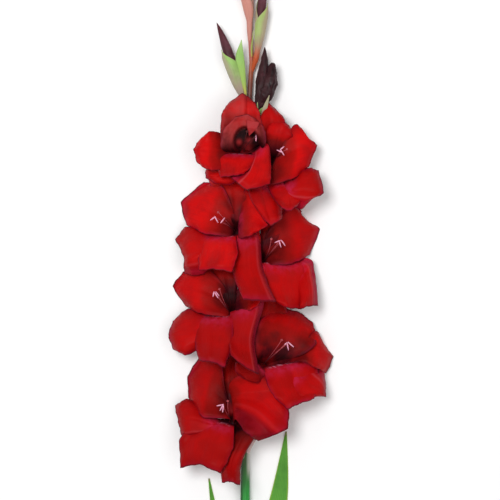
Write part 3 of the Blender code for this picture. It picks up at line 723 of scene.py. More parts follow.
def petal_velvet():
    """Deep red velvet: maroon throat, bright blade, painted magenta sheen on folds and turns, painted shade,
    pale lip streaks.
    """
    f = Finish("petal_velvet")
    cloud = f.grain(38.0, 3.0, 0.5)
    fine_cloud = f.grain(150.0, 3.0, 0.6)
    veins = f.fibres(44.0, 2.0, 2.0, 0.5, 0.3)
    lit = f.ramp(f.math("ADD", f.value("bright"), f.fade(cloud, 0.3, 0.7, -0.07, 0.07)), [
        (0.0, (0.020, 0.001, 0.002)), (0.14, (0.060, 0.002, 0.005)), (0.30, (0.160, 0.004, 0.004)),
        (0.46, (0.360, 0.004, 0.003)), (0.62, (0.590, 0.003, 0.003)), (1.0, (0.660, 0.003, 0.004))])
    # Painted shade towards a petal's edges and tip: the colour is multiplied darker there.
    dim = f.math("MULTIPLY", f.value("dim"), f.fade(cloud, 0.30, 0.62, 0.35, 1.0))
    lit = f.blend(dim, lit, (0.62, 0.50, 0.75), "MULTIPLY")
    lit = f.blend(f.math("SUBTRACT", 1.0, f.value("tone")), lit, (0.0, 0.0, 0.0))
    deep = f.blend(f.fade(cloud, 0.46, 0.70, 0.0, 0.60), lit, (0.30, 0.004, 0.005))
    streaked = f.blend(f.fade(veins, 0.50, 0.74, 0.0, 0.22), deep, (0.24, 0.003, 0.008))
    # Painted magenta sheen on rolled edges and on sides turned back.
    turned = f.math("MULTIPLY", f.value("turned"), f.fade(fine_cloud, 0.25, 0.60, 0.35, 1.0))
    sheen = f.blend(turned, streaked, (0.36, 0.010, 0.060))
    # Painted magenta highlight along the fold of a lower petal.
    fold = f.math("MULTIPLY", f.value("fold"), f.fade(fine_cloud, 0.30, 0.65, 0.15, 0.8))
    folded = f.blend(fold, sheen, (0.50, 0.018, 0.065))
    dust = f.math("MULTIPLY", f.value("dusty"), f.fade(fine_cloud, 0.30, 0.62, 0.45, 0.9))
    folded = f.blend(dust, folded, (0.38, 0.050, 0.050))
    # Painted pale highlight along the ridge where a side turns back.
    folded = f.blend(f.math("MULTIPLY", f.value("ridge"), 0.55), folded, (0.50, 0.090, 0.120))
    # Painted shade in the top bloom's deep pit: nearly black swirls, lifted to deep red where painted light
    # lies.
    painted_pit_shade = f.ramp(f.grain(190.0, 3.0, 0.6, 1.2), [
        (0.36, (0.004, 0.001, 0.001)), (0.54, (0.012, 0.002, 0.003)), (0.74, (0.050, 0.007, 0.009))])
    painted_pit_shade = f.blend(f.value("glow"), painted_pit_shade, (0.340, 0.020, 0.024))
    folded = f.blend(f.value("throat"), folded, painted_pit_shade)
    pale = f.math("MULTIPLY", f.value("pale"), f.fade(veins, 0.40, 0.60))
    pale = f.math("MULTIPLY", pale, f.fade(fine_cloud, 0.35, 0.60))
    streaks = f.blend(pale, folded, (0.66, 0.26, 0.38))
    # Dark rim: partly the petal's own darker edge, partly painted shade where the edge rolls back.
    rim = f.blend(f.math("MULTIPLY", f.value("rim"), 0.78), streaks, (0.075, 0.003, 0.008))
    reverse = f.blend(f.math("MULTIPLY", f.value("back"), 0.5), rim, (0.34, 0.014, 0.030))
    relief = f.bump(fine_cloud, 0.0006, 0.30, f.bump(veins, 0.00030, 0.6))
    return f.wear(colour=reverse, rough=f.fade(fine_cloud, 0.3, 0.7, 0.46, 0.62), normal=relief,
                  specular=0.06, sheen=0.018, sheen_rough=0.35, sheen_tint=(1.0, 0.15, 0.45))


def bud_skin():
    """Folded maroon bud with dusty pink patches and fine creases, nearly black where it is dark."""
    f = Finish("bud_skin")
    dust = f.grain(75.0, 4.0, 0.6)
    creases = f.fibres(30.0, 2.0, 3.0, 0.55, 0.4)
    base = f.ramp(dust, [(0.30, (0.040, 0.008, 0.013)), (0.52, (0.085, 0.020, 0.030)),
                         (0.72, (0.150, 0.052, 0.070))])
    dark = f.ramp(dust, [(0.30, (0.010, 0.002, 0.003)), (0.56, (0.024, 0.005, 0.007)),
                         (0.74, (0.090, 0.028, 0.038))])
    skin = f.blend(f.value("dark"), base, dark)
    streaked = f.blend(f.fade(creases, 0.45, 0.70, 0.0, 0.45), skin, (0.070, 0.010, 0.015))
    tip = f.blend(f.value("tip"), streaked, (0.080, 0.005, 0.009))
    return f.wear(colour=tip, rough=f.fade(dust, 0.3, 0.7, 0.42, 0.66), normal=f.bump(creases, 0.0005, 0.8),
                  specular=0.22, sheen=0.06, sheen_rough=0.45, sheen_tint=(1.0, 0.7, 0.8))


def bract_skin():
    """Leafy green bract with long veins, pinkish, orange or papery where its values say so."""
    f = Finish("bract_skin")
    cloud = f.grain(90.0, 3.0, 0.55)
    along = f.along()
    veins = f.fibres(52.0, 0.8, 1.0)
    green = f.ramp(f.math("ADD", along, f.fade(cloud, 0.3, 0.7, -0.15, 0.15)), [
        (0.0, (0.24, 0.26, 0.13)), (0.35, (0.24, 0.36, 0.10)), (0.75, (0.30, 0.52, 0.13)),
        (1.0, (0.38, 0.56, 0.15))])
    hue = f.blend(f.value("fresh"), green, f.ramp(along, [
        (0.0, (0.52, 0.46, 0.10)), (0.22, (0.34, 0.52, 0.11)), (0.65, (0.29, 0.52, 0.13)),
        (1.0, (0.42, 0.62, 0.24))]))
    for name, colour in (("blush", (0.42, 0.29, 0.27)), ("rosy", (0.60, 0.255, 0.205)),
                         ("ember", (0.52, 0.085, 0.022)), ("papery", (0.78, 0.60, 0.58))):
        hue = f.blend(f.value(name), hue, colour)
    lined = f.blend(f.fade(veins, 0.45, 0.65, 0.0, 0.22), hue, (0.5, 0.5, 0.4), "MULTIPLY")
    edge = f.blend(f.value("rim"), lined, (0.46, 0.46, 0.26))
    return f.wear(colour=edge, rough=0.46, normal=f.bump(veins, 0.0003, 0.7), specular=0.25,
                  under=0.05, under_radius=(0.6, 1.0, 0.3), under_scale=0.001)


def stem_skin():
    """Stem colours from the cut end to the tip: green, grey green, maroon brown, orange red, pale pink."""
    f = Finish("stem_skin")
    parts = f.add("ShaderNodeSeparateXYZ", {0: f.place})
    height = f.add("ShaderNodeMapRange", {"Value": parts.outputs[1], "From Min": CAD_BOX[0][1],
                                          "From Max": STALK_TOP}).outputs[0]
    cloud = f.grain(120.0, 3.0, 0.6)
    hue = f.ramp(height, [
        (0.00, (0.10, 0.26, 0.05)), (0.20, (0.040, 0.28, 0.040)), (0.262, (0.026, 0.31, 0.045)),
        (0.30, (0.075, 0.17, 0.065)), (0.345, (0.18, 0.22, 0.12)), (0.40, (0.16, 0.26, 0.10)),
        (0.62, (0.18, 0.24, 0.09)), (0.800, (0.14, 0.050, 0.040)), (0.824, (0.22, 0.060, 0.040)),
        (0.848, (0.42, 0.090, 0.030)), (0.885, (0.50, 0.13, 0.11)), (0.93, (0.58, 0.30, 0.24)),
        (1.0, (0.40, 0.42, 0.20))], "LINEAR")
    lit_stretch = f.math("MULTIPLY", f.fade(height, 0.275, 0.300), f.fade(height, 0.370, 0.345))
    lit_side = f.math("MULTIPLY", f.fade(parts.outputs[0], -0.0052, -0.0022), lit_stretch)
    hue = f.blend(lit_side, hue, (0.56, 0.56, 0.50))
    shaded_side = f.math("MULTIPLY", f.fade(parts.outputs[0], -0.0068, -0.0100), f.fade(height, 0.40, 0.36))
    hue = f.blend(f.math("MULTIPLY", shaded_side, 0.75), hue, (0.012, 0.045, 0.014))
    lines = f.fibres(60.0, 2.0, 2.0)
    shade = f.blend(f.fade(lines, 0.42, 0.66, 0.0, 0.45), hue, (0.45, 0.50, 0.35), "MULTIPLY")
    mottled = f.blend(f.fade(cloud, 0.40, 0.70, 0.0, 0.25), shade, (0.5, 0.5, 0.4), "OVERLAY")
    relief = f.bump(cloud, 0.0002, 0.4, f.bump(lines, 0.0003, 0.6))
    return f.wear(colour=mottled, rough=f.fade(cloud, 0.3, 0.7, 0.34, 0.50), normal=relief, specular=0.28,
                  coat=0.05, coat_rough=0.35)


def leaf_skin():
    """Sword leaf: green with paler ribs, a yellow green margin and a dry brown point."""
    f = Finish("leaf_skin")
    cloud = f.grain(35.0, 4.0, 0.6)
    fibres = f.fibres(90.0, 1.2, 2.0)
    base = f.ramp(cloud, [(0.30, (0.040, 0.190, 0.016)), (0.55, (0.070, 0.280, 0.024)),
                          (0.75, (0.120, 0.350, 0.032))])
    lined = f.blend(f.fade(fibres, 0.45, 0.68, 0.0, 0.40), base, (0.15, 0.40, 0.06))
    ribbed = f.blend(f.math("MULTIPLY", f.value("rib"), 0.45), lined, (0.16, 0.42, 0.045))
    edge = f.blend(f.value("rim"), ribbed, (0.30, 0.46, 0.035))
    dry = f.blend(f.value("tip"), edge, (0.28, 0.24, 0.09))
    return f.wear(colour=dry, rough=f.fade(cloud, 0.3, 0.7, 0.36, 0.50), normal=f.bump(fibres, 0.0003, 0.6),
                  specular=0.22, under=0.05, under_radius=(0.5, 1.0, 0.2), under_scale=0.001)


def filament_skin(name, low, high):
    """Filament between two colours, with painted shade where it lies deep in the throat."""
    f = Finish(name)
    depth = f.add("ShaderNodeSeparateXYZ", {0: f.place}).outputs[2]
    thread = f.ramp(f.grain(400.0, 2.0, 0.5), [(0.3, low), (0.7, high)])
    colour = f.blend(f.fade(depth, 0.029, 0.042), (0.060, 0.005, 0.008), thread)
    return f.wear(colour=colour, rough=0.42, specular=0.4, under=0.08, under_radius=(1.0, 0.3, 0.3),
                  under_scale=0.001)


def anther_skin():
    f = Finish("anther_skin")
    cloud = f.grain(700.0, 3.0, 0.6)
    colour = f.ramp(cloud, [(0.3, (0.62, 0.18, 0.32)), (0.55, (0.82, 0.38, 0.52)), (0.8, (0.92, 0.62, 0.72))])
    return f.wear(colour=colour, rough=0.62, normal=f.bump(cloud, 0.0003, 0.7), specular=0.25)


def pollen_skin():
    f = Finish("pollen_skin")
    colour = f.ramp(f.grain(900.0, 2.0, 0.5), [(0.3, (0.78, 0.50, 0.62)), (0.7, (0.94, 0.78, 0.86))])
    return f.wear(colour=colour, rough=0.75, specular=0.2)


def paper_floor():
    f = Finish("paper_floor")
    colour = f.ramp(f.grain(6.0, 2.0, 0.5), [(0.3, (0.960, 0.960, 0.962)), (0.7, (0.970, 0.970, 0.970))])
    return f.wear(colour=colour, rough=0.85, specular=0.15)


# geometry trees that repeat a form along a line or over a surface

class Tree(Nodes):
    """A geometry tree with named inputs."""

    def __init__(self, name, inputs):
        self.tree = bpy.data.node_groups.new(name, "GeometryNodeTree")
        face = self.tree.interface
        face.new_socket("Geometry", in_out="INPUT", socket_type="NodeSocketGeometry")
        face.new_socket("Geometry", in_out="OUTPUT", socket_type="NodeSocketGeometry")
        self.sockets = {}
        for key, kind in inputs.items():
            socket = face.new_socket(key, in_out="INPUT", socket_type="NodeSocket" + kind)
            self.sockets[key] = socket.identifier
        self.start = self.tree.nodes.new("NodeGroupInput").outputs
        self.end = self.tree.nodes.new("NodeGroupOutput").inputs[0]

    def named(self, name):
        node = self.add("GeometryNodeInputNamedAttribute", {"Name": name}, data_type="FLOAT")
        return node.outputs["Attribute"]

    def store(self, geometry, name, value, domain="POINT"):
        sockets = {"Geometry": geometry, "Name": name, "Value": value}
        settings = {"data_type": "FLOAT", "domain": domain}
        return self.add("GeometryNodeStoreNamedAttribute", sockets, **settings).outputs[0]

    def place(self):
        return self.add("GeometryNodeInputPosition").outputs[0]

    def parts(self, vector):
        return self.add("ShaderNodeSeparateXYZ", {0: vector}).outputs

    def scaled(self, vector, size):
        return self.add("ShaderNodeVectorMath", {0: vector, "Scale": size}, operation="SCALE").outputs[0]

    def moved(self, geometry, **where):
        return self.add("GeometryNodeSetPosition", {"Geometry": geometry, **where}).outputs[0]

    def ring(self, sides):
        return self.add("GeometryNodeCurvePrimitiveCircle", {"Resolution": sides, "Radius": 1.0}).outputs[0]

    def curves(self):
        """Curves along the edges that come in, as thick as their points say."""
        curve = self.add("GeometryNodeMeshToCurve", {"Mesh": self.start["Geometry"]})
        thick = self.named("thick")
        return self.add("GeometryNodeSetCurveRadius", {"Curve": curve.outputs[0], "Radius": thick}).outputs[0]

    def swept(self, curve, section):
        """Closed body along a curve, as thick as the curve's radius says."""
        sockets = {"Curve": curve, "Profile Curve": section, "Fill Caps": True}
        body = self.add("GeometryNodeCurveToMesh", sockets)
        if "Scale" in body.inputs:
            self.set(body.inputs["Scale"], self.add("GeometryNodeInputRadius").outputs[0])
        return body.outputs[0]

    def real(self, geometry):
        return self.add("GeometryNodeRealizeInstances", {"Geometry": geometry}).outputs[0]

    def out(self, geometry, material):
        dressed = self.add("GeometryNodeSetMaterial", {"Geometry": self.real(geometry), "Material": material})
        self.tree.links.new(dressed.outputs[0], self.end)

    def apply(self, piece, values):
        """Runs the tree on a piece with these inputs, and leaves a plain mesh without the modifier."""
        modifier = piece.modifiers.new(self.tree.name, "NODES")
        modifier.node_group = self.tree
        for key, value in values.items():
            modifier[self.sockets[key]] = value
        graph = bpy.context.evaluated_depsgraph_get()
        mesh = bpy.data.meshes.new_from_object(piece.evaluated_get(graph))
        piece.modifiers.remove(modifier)
        piece.data = mesh
        mesh.name = piece.name
        mesh.shade_smooth()
        return piece


def vein_tree():
    """Raises evenly spaced lengthwise veins on a sheet whose points know how far across they lie."""
    t = Tree("raised_veins", {"Vein Count": "Float", "Vein Height": "Float", "Material": "Material"})
    turn = t.math("MULTIPLY", t.named("side"), t.math("MULTIPLY", t.start["Vein Count"], math.pi))
    wave = t.math("POWER", t.math("ABSOLUTE", t.math("COSINE", turn)), 6.0)
    height = t.math("MULTIPLY", t.math("MULTIPLY", wave, t.start["Vein Height"]), t.named("veined"))
    lift = t.scaled(t.add("GeometryNodeInputNormal").outputs[0], height)
    t.out(t.moved(t.start["Geometry"], Offset=lift), t.start["Material"])
    return t


def stem_tree():
    """Sweeps a ridged round section along the stem's line, as thick as that line says."""
    t = Tree("ridged_stem", {"Ridge Count": "Float", "Ridge Depth": "Float", "Sides": "Int",
                             "Step": "Float", "Material": "Material"})
    line = t.add("GeometryNodeResampleCurve", {"Curve": t.curves(), "Length": t.start["Step"]}, mode="LENGTH")
    across, up, _ = t.parts(t.place())
    wave = t.math("COSINE", t.math("MULTIPLY", t.math("ARCTAN2", up, across), t.start["Ridge Count"]))
    size = t.math("ADD", 1.0, t.math("MULTIPLY", wave, t.start["Ridge Depth"]))
    section = t.moved(t.ring(t.start["Sides"]), Position=t.scaled(t.place(), size))
    share = t.add("GeometryNodeSplineParameter").outputs["Factor"]
    section = t.store(section, "around", share)
    t.out(t.swept(t.store(line.outputs[0], "along", share), section), t.start["Material"])
    return t


def stamen_tree():
    """Sweeps filaments along their lines, and sets two-lobed anthers dusted with pollen at their ends."""
    t = Tree("stamen_set", {"Anther Size": "Float", "Grain Size": "Float", "Grains": "Float", "Seed": "Int",
                            "Filament": "Material", "Anther": "Material", "Pollen": "Material"})
    is_anther = t.math("GREATER_THAN", t.named("anther"), 0.5)
    sockets = {"Geometry": t.curves(), "Selection": is_anther}
    split = t.add("GeometryNodeSeparateGeometry", sockets, domain="CURVE")
    across, up, _ = t.parts(t.place())
    waist = t.math("ADD", 0.55, t.math("MULTIPLY", t.math("ABSOLUTE", across), 0.45))
    lobes = t.add("ShaderNodeCombineXYZ", {0: across, 1: t.math("MULTIPLY", up, waist)}).outputs[0]
    lobed = t.moved(t.ring(16), Position=t.scaled(lobes, t.start["Anther Size"]))
    anthers = t.swept(split.outputs[0], lobed)
    filaments = t.swept(split.outputs[1], t.ring(8))
    spots = t.add("GeometryNodeDistributePointsOnFaces", {"Mesh": anthers, "Density": t.start["Grains"],
                                                          "Seed": t.start["Seed"]})
    grain = t.add("GeometryNodeMeshIcoSphere", {"Radius": t.start["Grain Size"], "Subdivisions": 1})
    grains = t.add("GeometryNodeInstanceOnPoints", {"Points": spots.outputs[0], "Instance": grain.outputs[0]})
    joined = t.add("GeometryNodeJoinGeometry")
    for mark, part in ((2.0, t.real(grains.outputs[0])), (1.0, anthers), (0.0, filaments)):
        t.tree.links.new(t.store(part, "part", mark, "FACE"), joined.inputs[0])
    dressed = t.real(joined.outputs[0])
    for mark, name in ((0.0, "Filament"), (1.0, "Anther"), (2.0, "Pollen")):
        chosen = t.math("COMPARE", t.named("part"), mark)
        dressed = t.add("GeometryNodeSetMaterial", {"Geometry": dressed, "Selection": chosen,
                                                    "Material": t.start[name]}).outputs[0]
    t.tree.links.new(dressed, t.end)
    return t


def make_lines(name, lines):
    """Mesh of edges along each (points, radii, is it an anther), which the trees turn into curves."""
    mesh = bpy.data.meshes.new(name)
    points, edges, radii, flags = [], [], [], []
    for line, thick, flag in lines:
        edges += [(len(points) + i, len(points) + i + 1) for i in range(len(line) - 1)]
        points += [tuple(point) for point in line]
        radii += list(thick)
        flags += [float(flag)] * len(line)
    mesh.from_pydata(points, edges, [])
    for key, column in (("thick", radii), ("anther", flags)):
        attribute = mesh.attributes.new(key, "FLOAT", "POINT")
        attribute.data.foreach_set("value", np.array(column, np.float32))
    piece = bpy.data.objects.new(name, mesh)
    bpy.context.scene.collection.objects.link(piece)
    return piece


# blooms

def bloom_axis(bloom):
    right, up = bloom["lean"]
    return np.array([right, up, math.sqrt(1.0 - right * right - up * up)])


def stem_at(down):
    """Axis point and radius of the flower stem at a plan position."""
    for low, high in zip(STEM_LINE, STEM_LINE[1:]):
        if high[1] <= down <= low[1]:
            share = (low[1] - down) / (low[1] - high[1])
            across, height, radius = (mix(low[i], high[i], share) for i in (0, 2, 3))
            return plan(across, down, height), radius * MM
    raise ValueError("no stem there")


def tube_line(bloom):
    """Control points of the tube's centre line, from the ovary at the stem to the throat."""
    root = plan(*bloom["root"], bloom["height"])
    centre, radius = stem_at(bloom["leaves_stem"])
    side = 1.0 if root[0] > centre[0] else -1.0
    away = np.array([TUBE_LEAN[0] * side, 0.0, TUBE_LEAN[1]])
    clear = radius + 2.0 * SEAT_GAP + BRACT_THICKNESS + (OVARY_RADIUS + OVARY_GAP) * MM
    start = centre + away * clear
    return [start, start + np.array([0, 13 * MM, 0]) + away * 2 * MM,
            root - bloom_axis(bloom) * 15 * MM, root], away


def petal_line(bloom, key):
    """Frame of a petal and the control points of its middle line along the axis and away from it."""
    whorl = "outer" if key in OUTER_WHORL else "inner"
    root = plan(*bloom["root"], bloom["height"])
    axis = bloom_axis(bloom)
    right, up, forward, bulge = (value * MM for value in bloom["petals"][key]["tip"])
    rise = (forward - axis[0] * right - axis[1] * up) / axis[2]
    tip = np.array([right, up, max(rise, PETAL_FLOOR - root[2])])
    forward = tip @ axis
    spread = tip - axis * forward
    reach = np.linalg.norm(spread)
    outward = spread / reach
    depth = THROAT_DEPTH * MM
    mouth = WHORL_ROOT_RADIUS[whorl] * MM
    bulge += WHORL_LIFT[whorl] * MM
    line = [np.array([-1.5 * MM, mouth]), np.array([0.62 * depth, mouth * 1.1]),
            np.array([depth + bulge, FLARE_RADIUS * MM]), np.array([forward, reach])]
    return root, axis, outward, line


def petal_spots(petal, root, outward, level, along, side, phase):
    """Where a petal's points lie seen from above, with notches in its sides and a fringe at its tip."""
    flat = along[:, 0]
    outline = np.array([plan(*point, 0.0)[:2] for point in petal["outline"]])
    start = root[:2] + outward[:2] * 1.5 * MM
    first = through(OUTLINE_SHARES, [start - level * 4.0 * MM, *outline[:3]], flat)
    second = through(OUTLINE_SHARES, [start + level * 4.0 * MM, *outline[:3:-1]], flat)
    bow = outline[3] - (outline[2] + outline[4]) / 2.0
    notch = sum(size * np.sin(math.tau * waves * along + phase * shift + lean * side)
                for size, waves, shift, lean in SIDE_NOTCHES) * smooth(0.30, 0.70, along) * side ** 2
    middle = mix(first, second, 0.5)[:, None]
    spot = mix(first[:, None], second[:, None], (side[..., None] + 1.0) / 2.0)
    spot = middle + (spot - middle) * (1.0 + notch[..., None])
    peak = 0.5 * (1.0 - side ** 2) + 0.5 * (1.0 - np.abs(side)) ** 1.5
    fringe = sum(size * MM * np.sin(waves * side + phase * shift) for size, waves, shift in TIP_FRINGE)
    return spot + bow * (peak * along ** 2.2)[..., None] + outward[:2] * (fringe * along ** 12)[..., None]


def petal_relief(petal, lower, height, along, side, phase):
    """Heights of a petal with its cup, the waves of its edges and tip, and its creases."""
    blade = smooth(0.30, 0.70, along)
    cup_middle, cup_tip = petal.get("cup", CUP["lower" if lower else "upper"])
    cup = mix(cup_middle, cup_tip, smooth(0.45, 1.0, along)) * smooth(0.05, 0.35, along)
    height = height + cup * MM * side ** 2 - petal.get("sunk", 0.0) * MM * smooth(0.15, 0.5, along)
    second_edge = np.where(side > 0, SECOND_EDGE_PHASE, 0.0)
    for size, power, shift, waves in EDGE_WAVES:
        wave = np.sin(phase * shift + math.tau * waves * along + second_edge)
        height = height + size * MM * side ** power * blade * wave
    height = height + TIP_WAVE * MM * smooth(0.65, 1.0, along) * np.sin(4.6 * side + phase * 1.3)
    crease = np.exp(-(side / 0.10) ** 2) * smooth(0.15, 0.40, along) * (1.0 - smooth(0.80, 1.0, along))
    height = height - MIDDLE_GROOVE * MM * crease
    folds = np.cos(side * 8.0 + phase)
    height = height + LENGTH_FOLDS * MM * folds * blade * (1.0 - smooth(0.85, 1.0, along))
    if lower:
        swelling = smooth(0.10, 0.32, along)
        height = height + LOWER_SWELLING * MM * swelling * (1.0 - smooth(0.35, 0.75, along))
    return height


def turned_side(petal, along, side):
    """How far each point is turned back, the ridge where the turn starts, its painted magenta sheen and its
    painted shade.
    """
    if "turned" not in petal:
        return 0.0, 0.0, 0.0, 0.0
    turn, pink, dark = petal["turned"]
    past = math.copysign(1.0, turn) * side - abs(turn)
    share = smooth(0.0, 0.30, past) * smooth(0.15, 0.35, along)
    # Painted pale highlight, and a slightly raised ridge, where the turn starts.
    ridge = pink * np.exp(-(past / 0.05) ** 2) * smooth(0.20, 0.35, along)
    return share, ridge, pink, dark


def top_throat(spot, along, lower):
    """Which points lie in the top bloom's painted dark throat, how much painted light lies there, and the
    swirl of its floor.
    """
    from_middle = (spot - plan(*TOP_THROAT["middle"], 0.0)[:2]) / (np.array(TOP_THROAT["half"]) * PLAN_STEP)
    angle = np.arctan2(from_middle[..., 1], from_middle[..., 0])
    distance = np.linalg.norm(from_middle, axis=-1)
    distance = distance * (1.0 + 0.10 * np.sin(2.0 * angle + 0.8) + 0.05 * np.sin(3.0 * angle))
    throat = 1.0 - smooth(0.72, 1.0, distance)
    if lower:
        throat = throat * (1.0 - smooth(0.24, 0.34, along))
    glow = 0.0
    for across, down, width, weight in TOP_THROAT["painted_pit_lights"]:
        gap = np.linalg.norm(spot - plan(across, down, 0.0)[:2], axis=-1)
        glow = np.maximum(glow, weight * np.exp(-(gap / (width * PLAN_STEP)) ** 2))
    return throat, glow, np.sin(2.0 * angle + 4.0 * distance)


def petal_values(petal, key, along, side, edge, phase, turn):
    """What the petal's finish reads at each point."""
    lower = key in LOWER_PETALS
    turn_share, ridge, pink, dark = turn
    bright = along + 0.45 * smooth(0.16, 0.30, along) if lower else along - 0.04
    # Painted shade towards the edges and the tip.
    dim = np.maximum(smooth(0.45, 1.0, np.abs(side)), smooth(0.70, 1.0, along)) * smooth(0.25, 0.5, along)
    strength = 0.45 + 0.30 * math.sin(phase * 5.1)
    fold, pale = 0.0, 0.0
    # Painted magenta highlight along the fold.
    if petal.get("painted_fold_highlight", lower):
        fold = np.exp(-((along - 0.31) / 0.09) ** 2) * (1.0 - 0.7 * side ** 2)
    if key == "lip":
        pale = np.exp(-((along - 0.235) / 0.028) ** 2) * (1.0 - smooth(0.3, 0.95, np.abs(side)))
    return dict(
        side=side, dim=dim, fold=fold, pale=pale, ridge=ridge, rim=smooth(0.90, 1.0, edge),
        bright=np.minimum(bright - petal.get("shade", 0.0), LOWER_BRIGHTEST if lower else 1.0),
        veined=smooth(0.25, 0.5, along) * (1.0 - edge),
        # Painted magenta sheen on the rolled edge and on a side turned back.
        turned=np.maximum(0.55 * strength * edge ** 2, pink * turn_share),
        dusty=petal.get("dusty", 0.0) * smooth(0.25, 0.55, along) * (1.0 - 0.6 * turn_share),
        # Painted shade on a side turned back darkens its tone.
        tone=petal.get("tone", LOWER_TONE if lower else 1.0) * (1.0 - dark * turn_share))


def petal_sheet(pile, number, bloom, key, index):
    """One petal: rows run from its root to its tip, columns from its clockwise edge to the other."""
    petal, lower = bloom["petals"][key], key in LOWER_PETALS
    phase = 1.7 * index + 0.9 * int(number)
    root, axis, outward, line = petal_line(bloom, key)
    sideways = np.cross(axis, outward)
    level = sideways[:2] / np.linalg.norm(sideways[:2])
    slope = sideways[2] / np.linalg.norm(sideways[:2])
    along, side = grid(PETAL_GRID)
    along = 1.0 - (1.0 - along) ** TIP_CROWDING
    here = bezier(line, along[:, 0])
    centre = root + axis * here[:, :1] + outward * here[:, 1:]
    spot = petal_spots(petal, root, outward, level, along, side, phase)
    beside = (spot - centre[:, None, :2]) @ level
    height = centre[:, None, 2] + np.clip(beside * slope, -12 * MM, 12 * MM)
    height = petal_relief(petal, lower, height, along, side, phase)
    turn = turned_side(petal, along, side)
    height = height - TURN_DROP * turn[0] ** 1.5 + TURN_RIDGE * MM * turn[1]
    throat, glow = 0.0, 0.0
    if number == TOP_BLOOM:
        throat, glow, swirl = top_throat(spot, along, lower)
        if key == "upper_right":
            height = height - throat * (TOP_THROAT["depth"] + 2.0 * swirl) * MM
    edge = np.maximum(smooth(0.80, 1.0, np.abs(side)) * smooth(0.22, 0.45, along), smooth(0.86, 1.0, along))
    height = height - EDGE_ROLL * edge ** 1.5
    points = np.concatenate([spot, np.clip(height, PETAL_FLOOR, HIGHEST)[..., None]], axis=-1)
    front = UP - outward * 0.6 * (1.0 - smooth(0.2, 0.4, along))[..., None]
    add_shell(pile, points, front, PETAL_THICKNESS * (1.0 - RIM_THINNING * edge), grid_uv(along, side),
              throat=throat, glow=glow, **petal_values(petal, key, along, side, edge, phase, turn))
    return points


def rod_rings(points, radii, sides):
    """Rings round a line of points."""
    ahead = unit(np.gradient(points, axis=0))
    beside = unit(np.cross(ahead, UP + 1e-4))
    front = np.cross(beside, ahead)
    turn = np.linspace(0.0, math.tau, sides, endpoint=False)
    circle = beside[:, None] * np.cos(turn)[None, :, None] + front[:, None] * np.sin(turn)[None, :, None]
    return points[:, None] + circle * np.asarray(radii)[:, None, None]


def petal_tube(pile, bloom):
    """Tube from the ovary to the floor of the throat."""
    line, _ = tube_line(bloom)
    share = np.linspace(0.0, 1.0, 15)
    points = np.vstack([bezier(line, share), bezier(line, [1.0]) + bloom_axis(bloom) * 1.2 * MM])
    radii = mix(OVARY_RADIUS, TUBE_RADIUS, smooth(0.2, 0.6, share)) * MM
    radii = mix(radii, THROAT_FLOOR_RADIUS * MM, smooth(0.6, 1.0, share))
    bright = mix(0.40, 0.05, smooth(0.6, 1.0, np.append(share, 1.0)))[:, None]
    rings = rod_rings(points, np.append(radii, THROAT_FLOOR_RADIUS * MM), 20)
    add_loft(pile, rings, 0.30, tone=1.0, bright=bright)


def make_bloom(number, bloom, finishes, veins):
    pile = Pile()
    sheets = {key: petal_sheet(pile, number, bloom, key, index)
              for index, key in enumerate(OUTER_WHORL + INNER_WHORL)}
    for fold in bloom.get("folds", []):
        shape, sheet = fold["shape"], sheets[fold["on"]].reshape(-1, 3)
        foot = (plan(*shape["left"][0], 0.0) + plan(*shape["right"][0], 0.0)) / 2.0
        nearest = np.linalg.norm(sheet[:, :2] - foot[:2], axis=1).argmin()
        heights = [sheet[nearest, 2] / MM + rise for rise in fold["rises"]]
        blade_sheet(pile, heights=heights, thickness=PETAL_THICKNESS, **shape)
    petal_tube(pile, bloom)
    finish_veined(pile, "petals_" + number, "petal", "bloom_" + number, finishes, veins)


def make_stamens(number, bloom, finishes, stamens):
    """Three stamens whose anthers nearly meet, and a three-branched style beside them."""
    top = number == TOP_BLOOM
    axis = bloom_axis(bloom)
    floor = plan(*bloom["root"], bloom["height"]) + axis * (1.7 * MM + SEAT_GAP)
    head = floor[2] + ANTHER_RISE * axis[2]
    share = np.linspace(0.0, 1.0, 14)
    lines = []

    def reach(end, thick, thin):
        over = mix(floor + axis * 0.8 * ANTHER_RISE, end, 0.6) + UP * 3.0 * MM
        line = [floor, floor + axis * 0.42 * ANTHER_RISE, over, end]
        lines.append((bezier(line, share), mix(thick, thin, share) * MM, False))

    for index, (across, down, far_across, far_down) in enumerate(bloom["anthers"]):
        near, far = plan(across, down, 0.0), plan(far_across, far_down, 0.0)
        near[2], far[2] = head + 0.6 * MM * index, head - 1.4 * MM
        reach(near - UP * 0.5 * MM, *FILAMENT_RADII)
        body = mix(near, far, np.linspace(-0.12, 1.06, 12)[:, None])
        body[:, 2] += 0.5 * MM * np.sin(np.linspace(0.0, math.pi, 12))
        thick = np.sin(np.linspace(0.06, 0.94, 12) * math.pi) ** 0.5
        lines.append((body, thick * ANTHER_RADIUS * MM, True))
    end = plan(*bloom["stigma"], 0.0)
    end[2] = head + 1.0 * MM
    reach(end, *STYLE_RADII)
    ahead = unit((end - floor) * np.array([1.0, 1.0, 0.3]))
    beside = np.cross(axis, ahead)
    for turn in STYLE_BRANCH_TURNS:
        branch = ahead * math.cos(turn) + beside * math.sin(turn)
        line = [end, end + branch * 1.0 * MM, end + branch * 1.8 * MM + axis * 0.4 * MM,
                end + branch * 2.6 * MM]
        lines.append((bezier(line, share[::3]), np.array(STYLE_BRANCH_RADII) * MM, False))
    piece = stamens.apply(make_lines("stamen_set_" + number, lines), {
        "Anther Size": TOP_ANTHER_SIZE if top else ANTHER_SIZE, "Grain Size": POLLEN_RADIUS,
        "Grains": POLLEN_DENSITY, "Seed": int(number), "Anther": finishes["anther"],
        # The top bloom's stamens lie in its pit: as painted shade, their filaments take a dark copy of the
        # filament finish and their pollen the filament finish.
        "Filament": finishes["painted_shade_filament" if top else "filament"],
        "Pollen": finishes["filament" if top else "pollen"]})
    finish_piece(piece, "stamens_" + number)


# bracts and buds

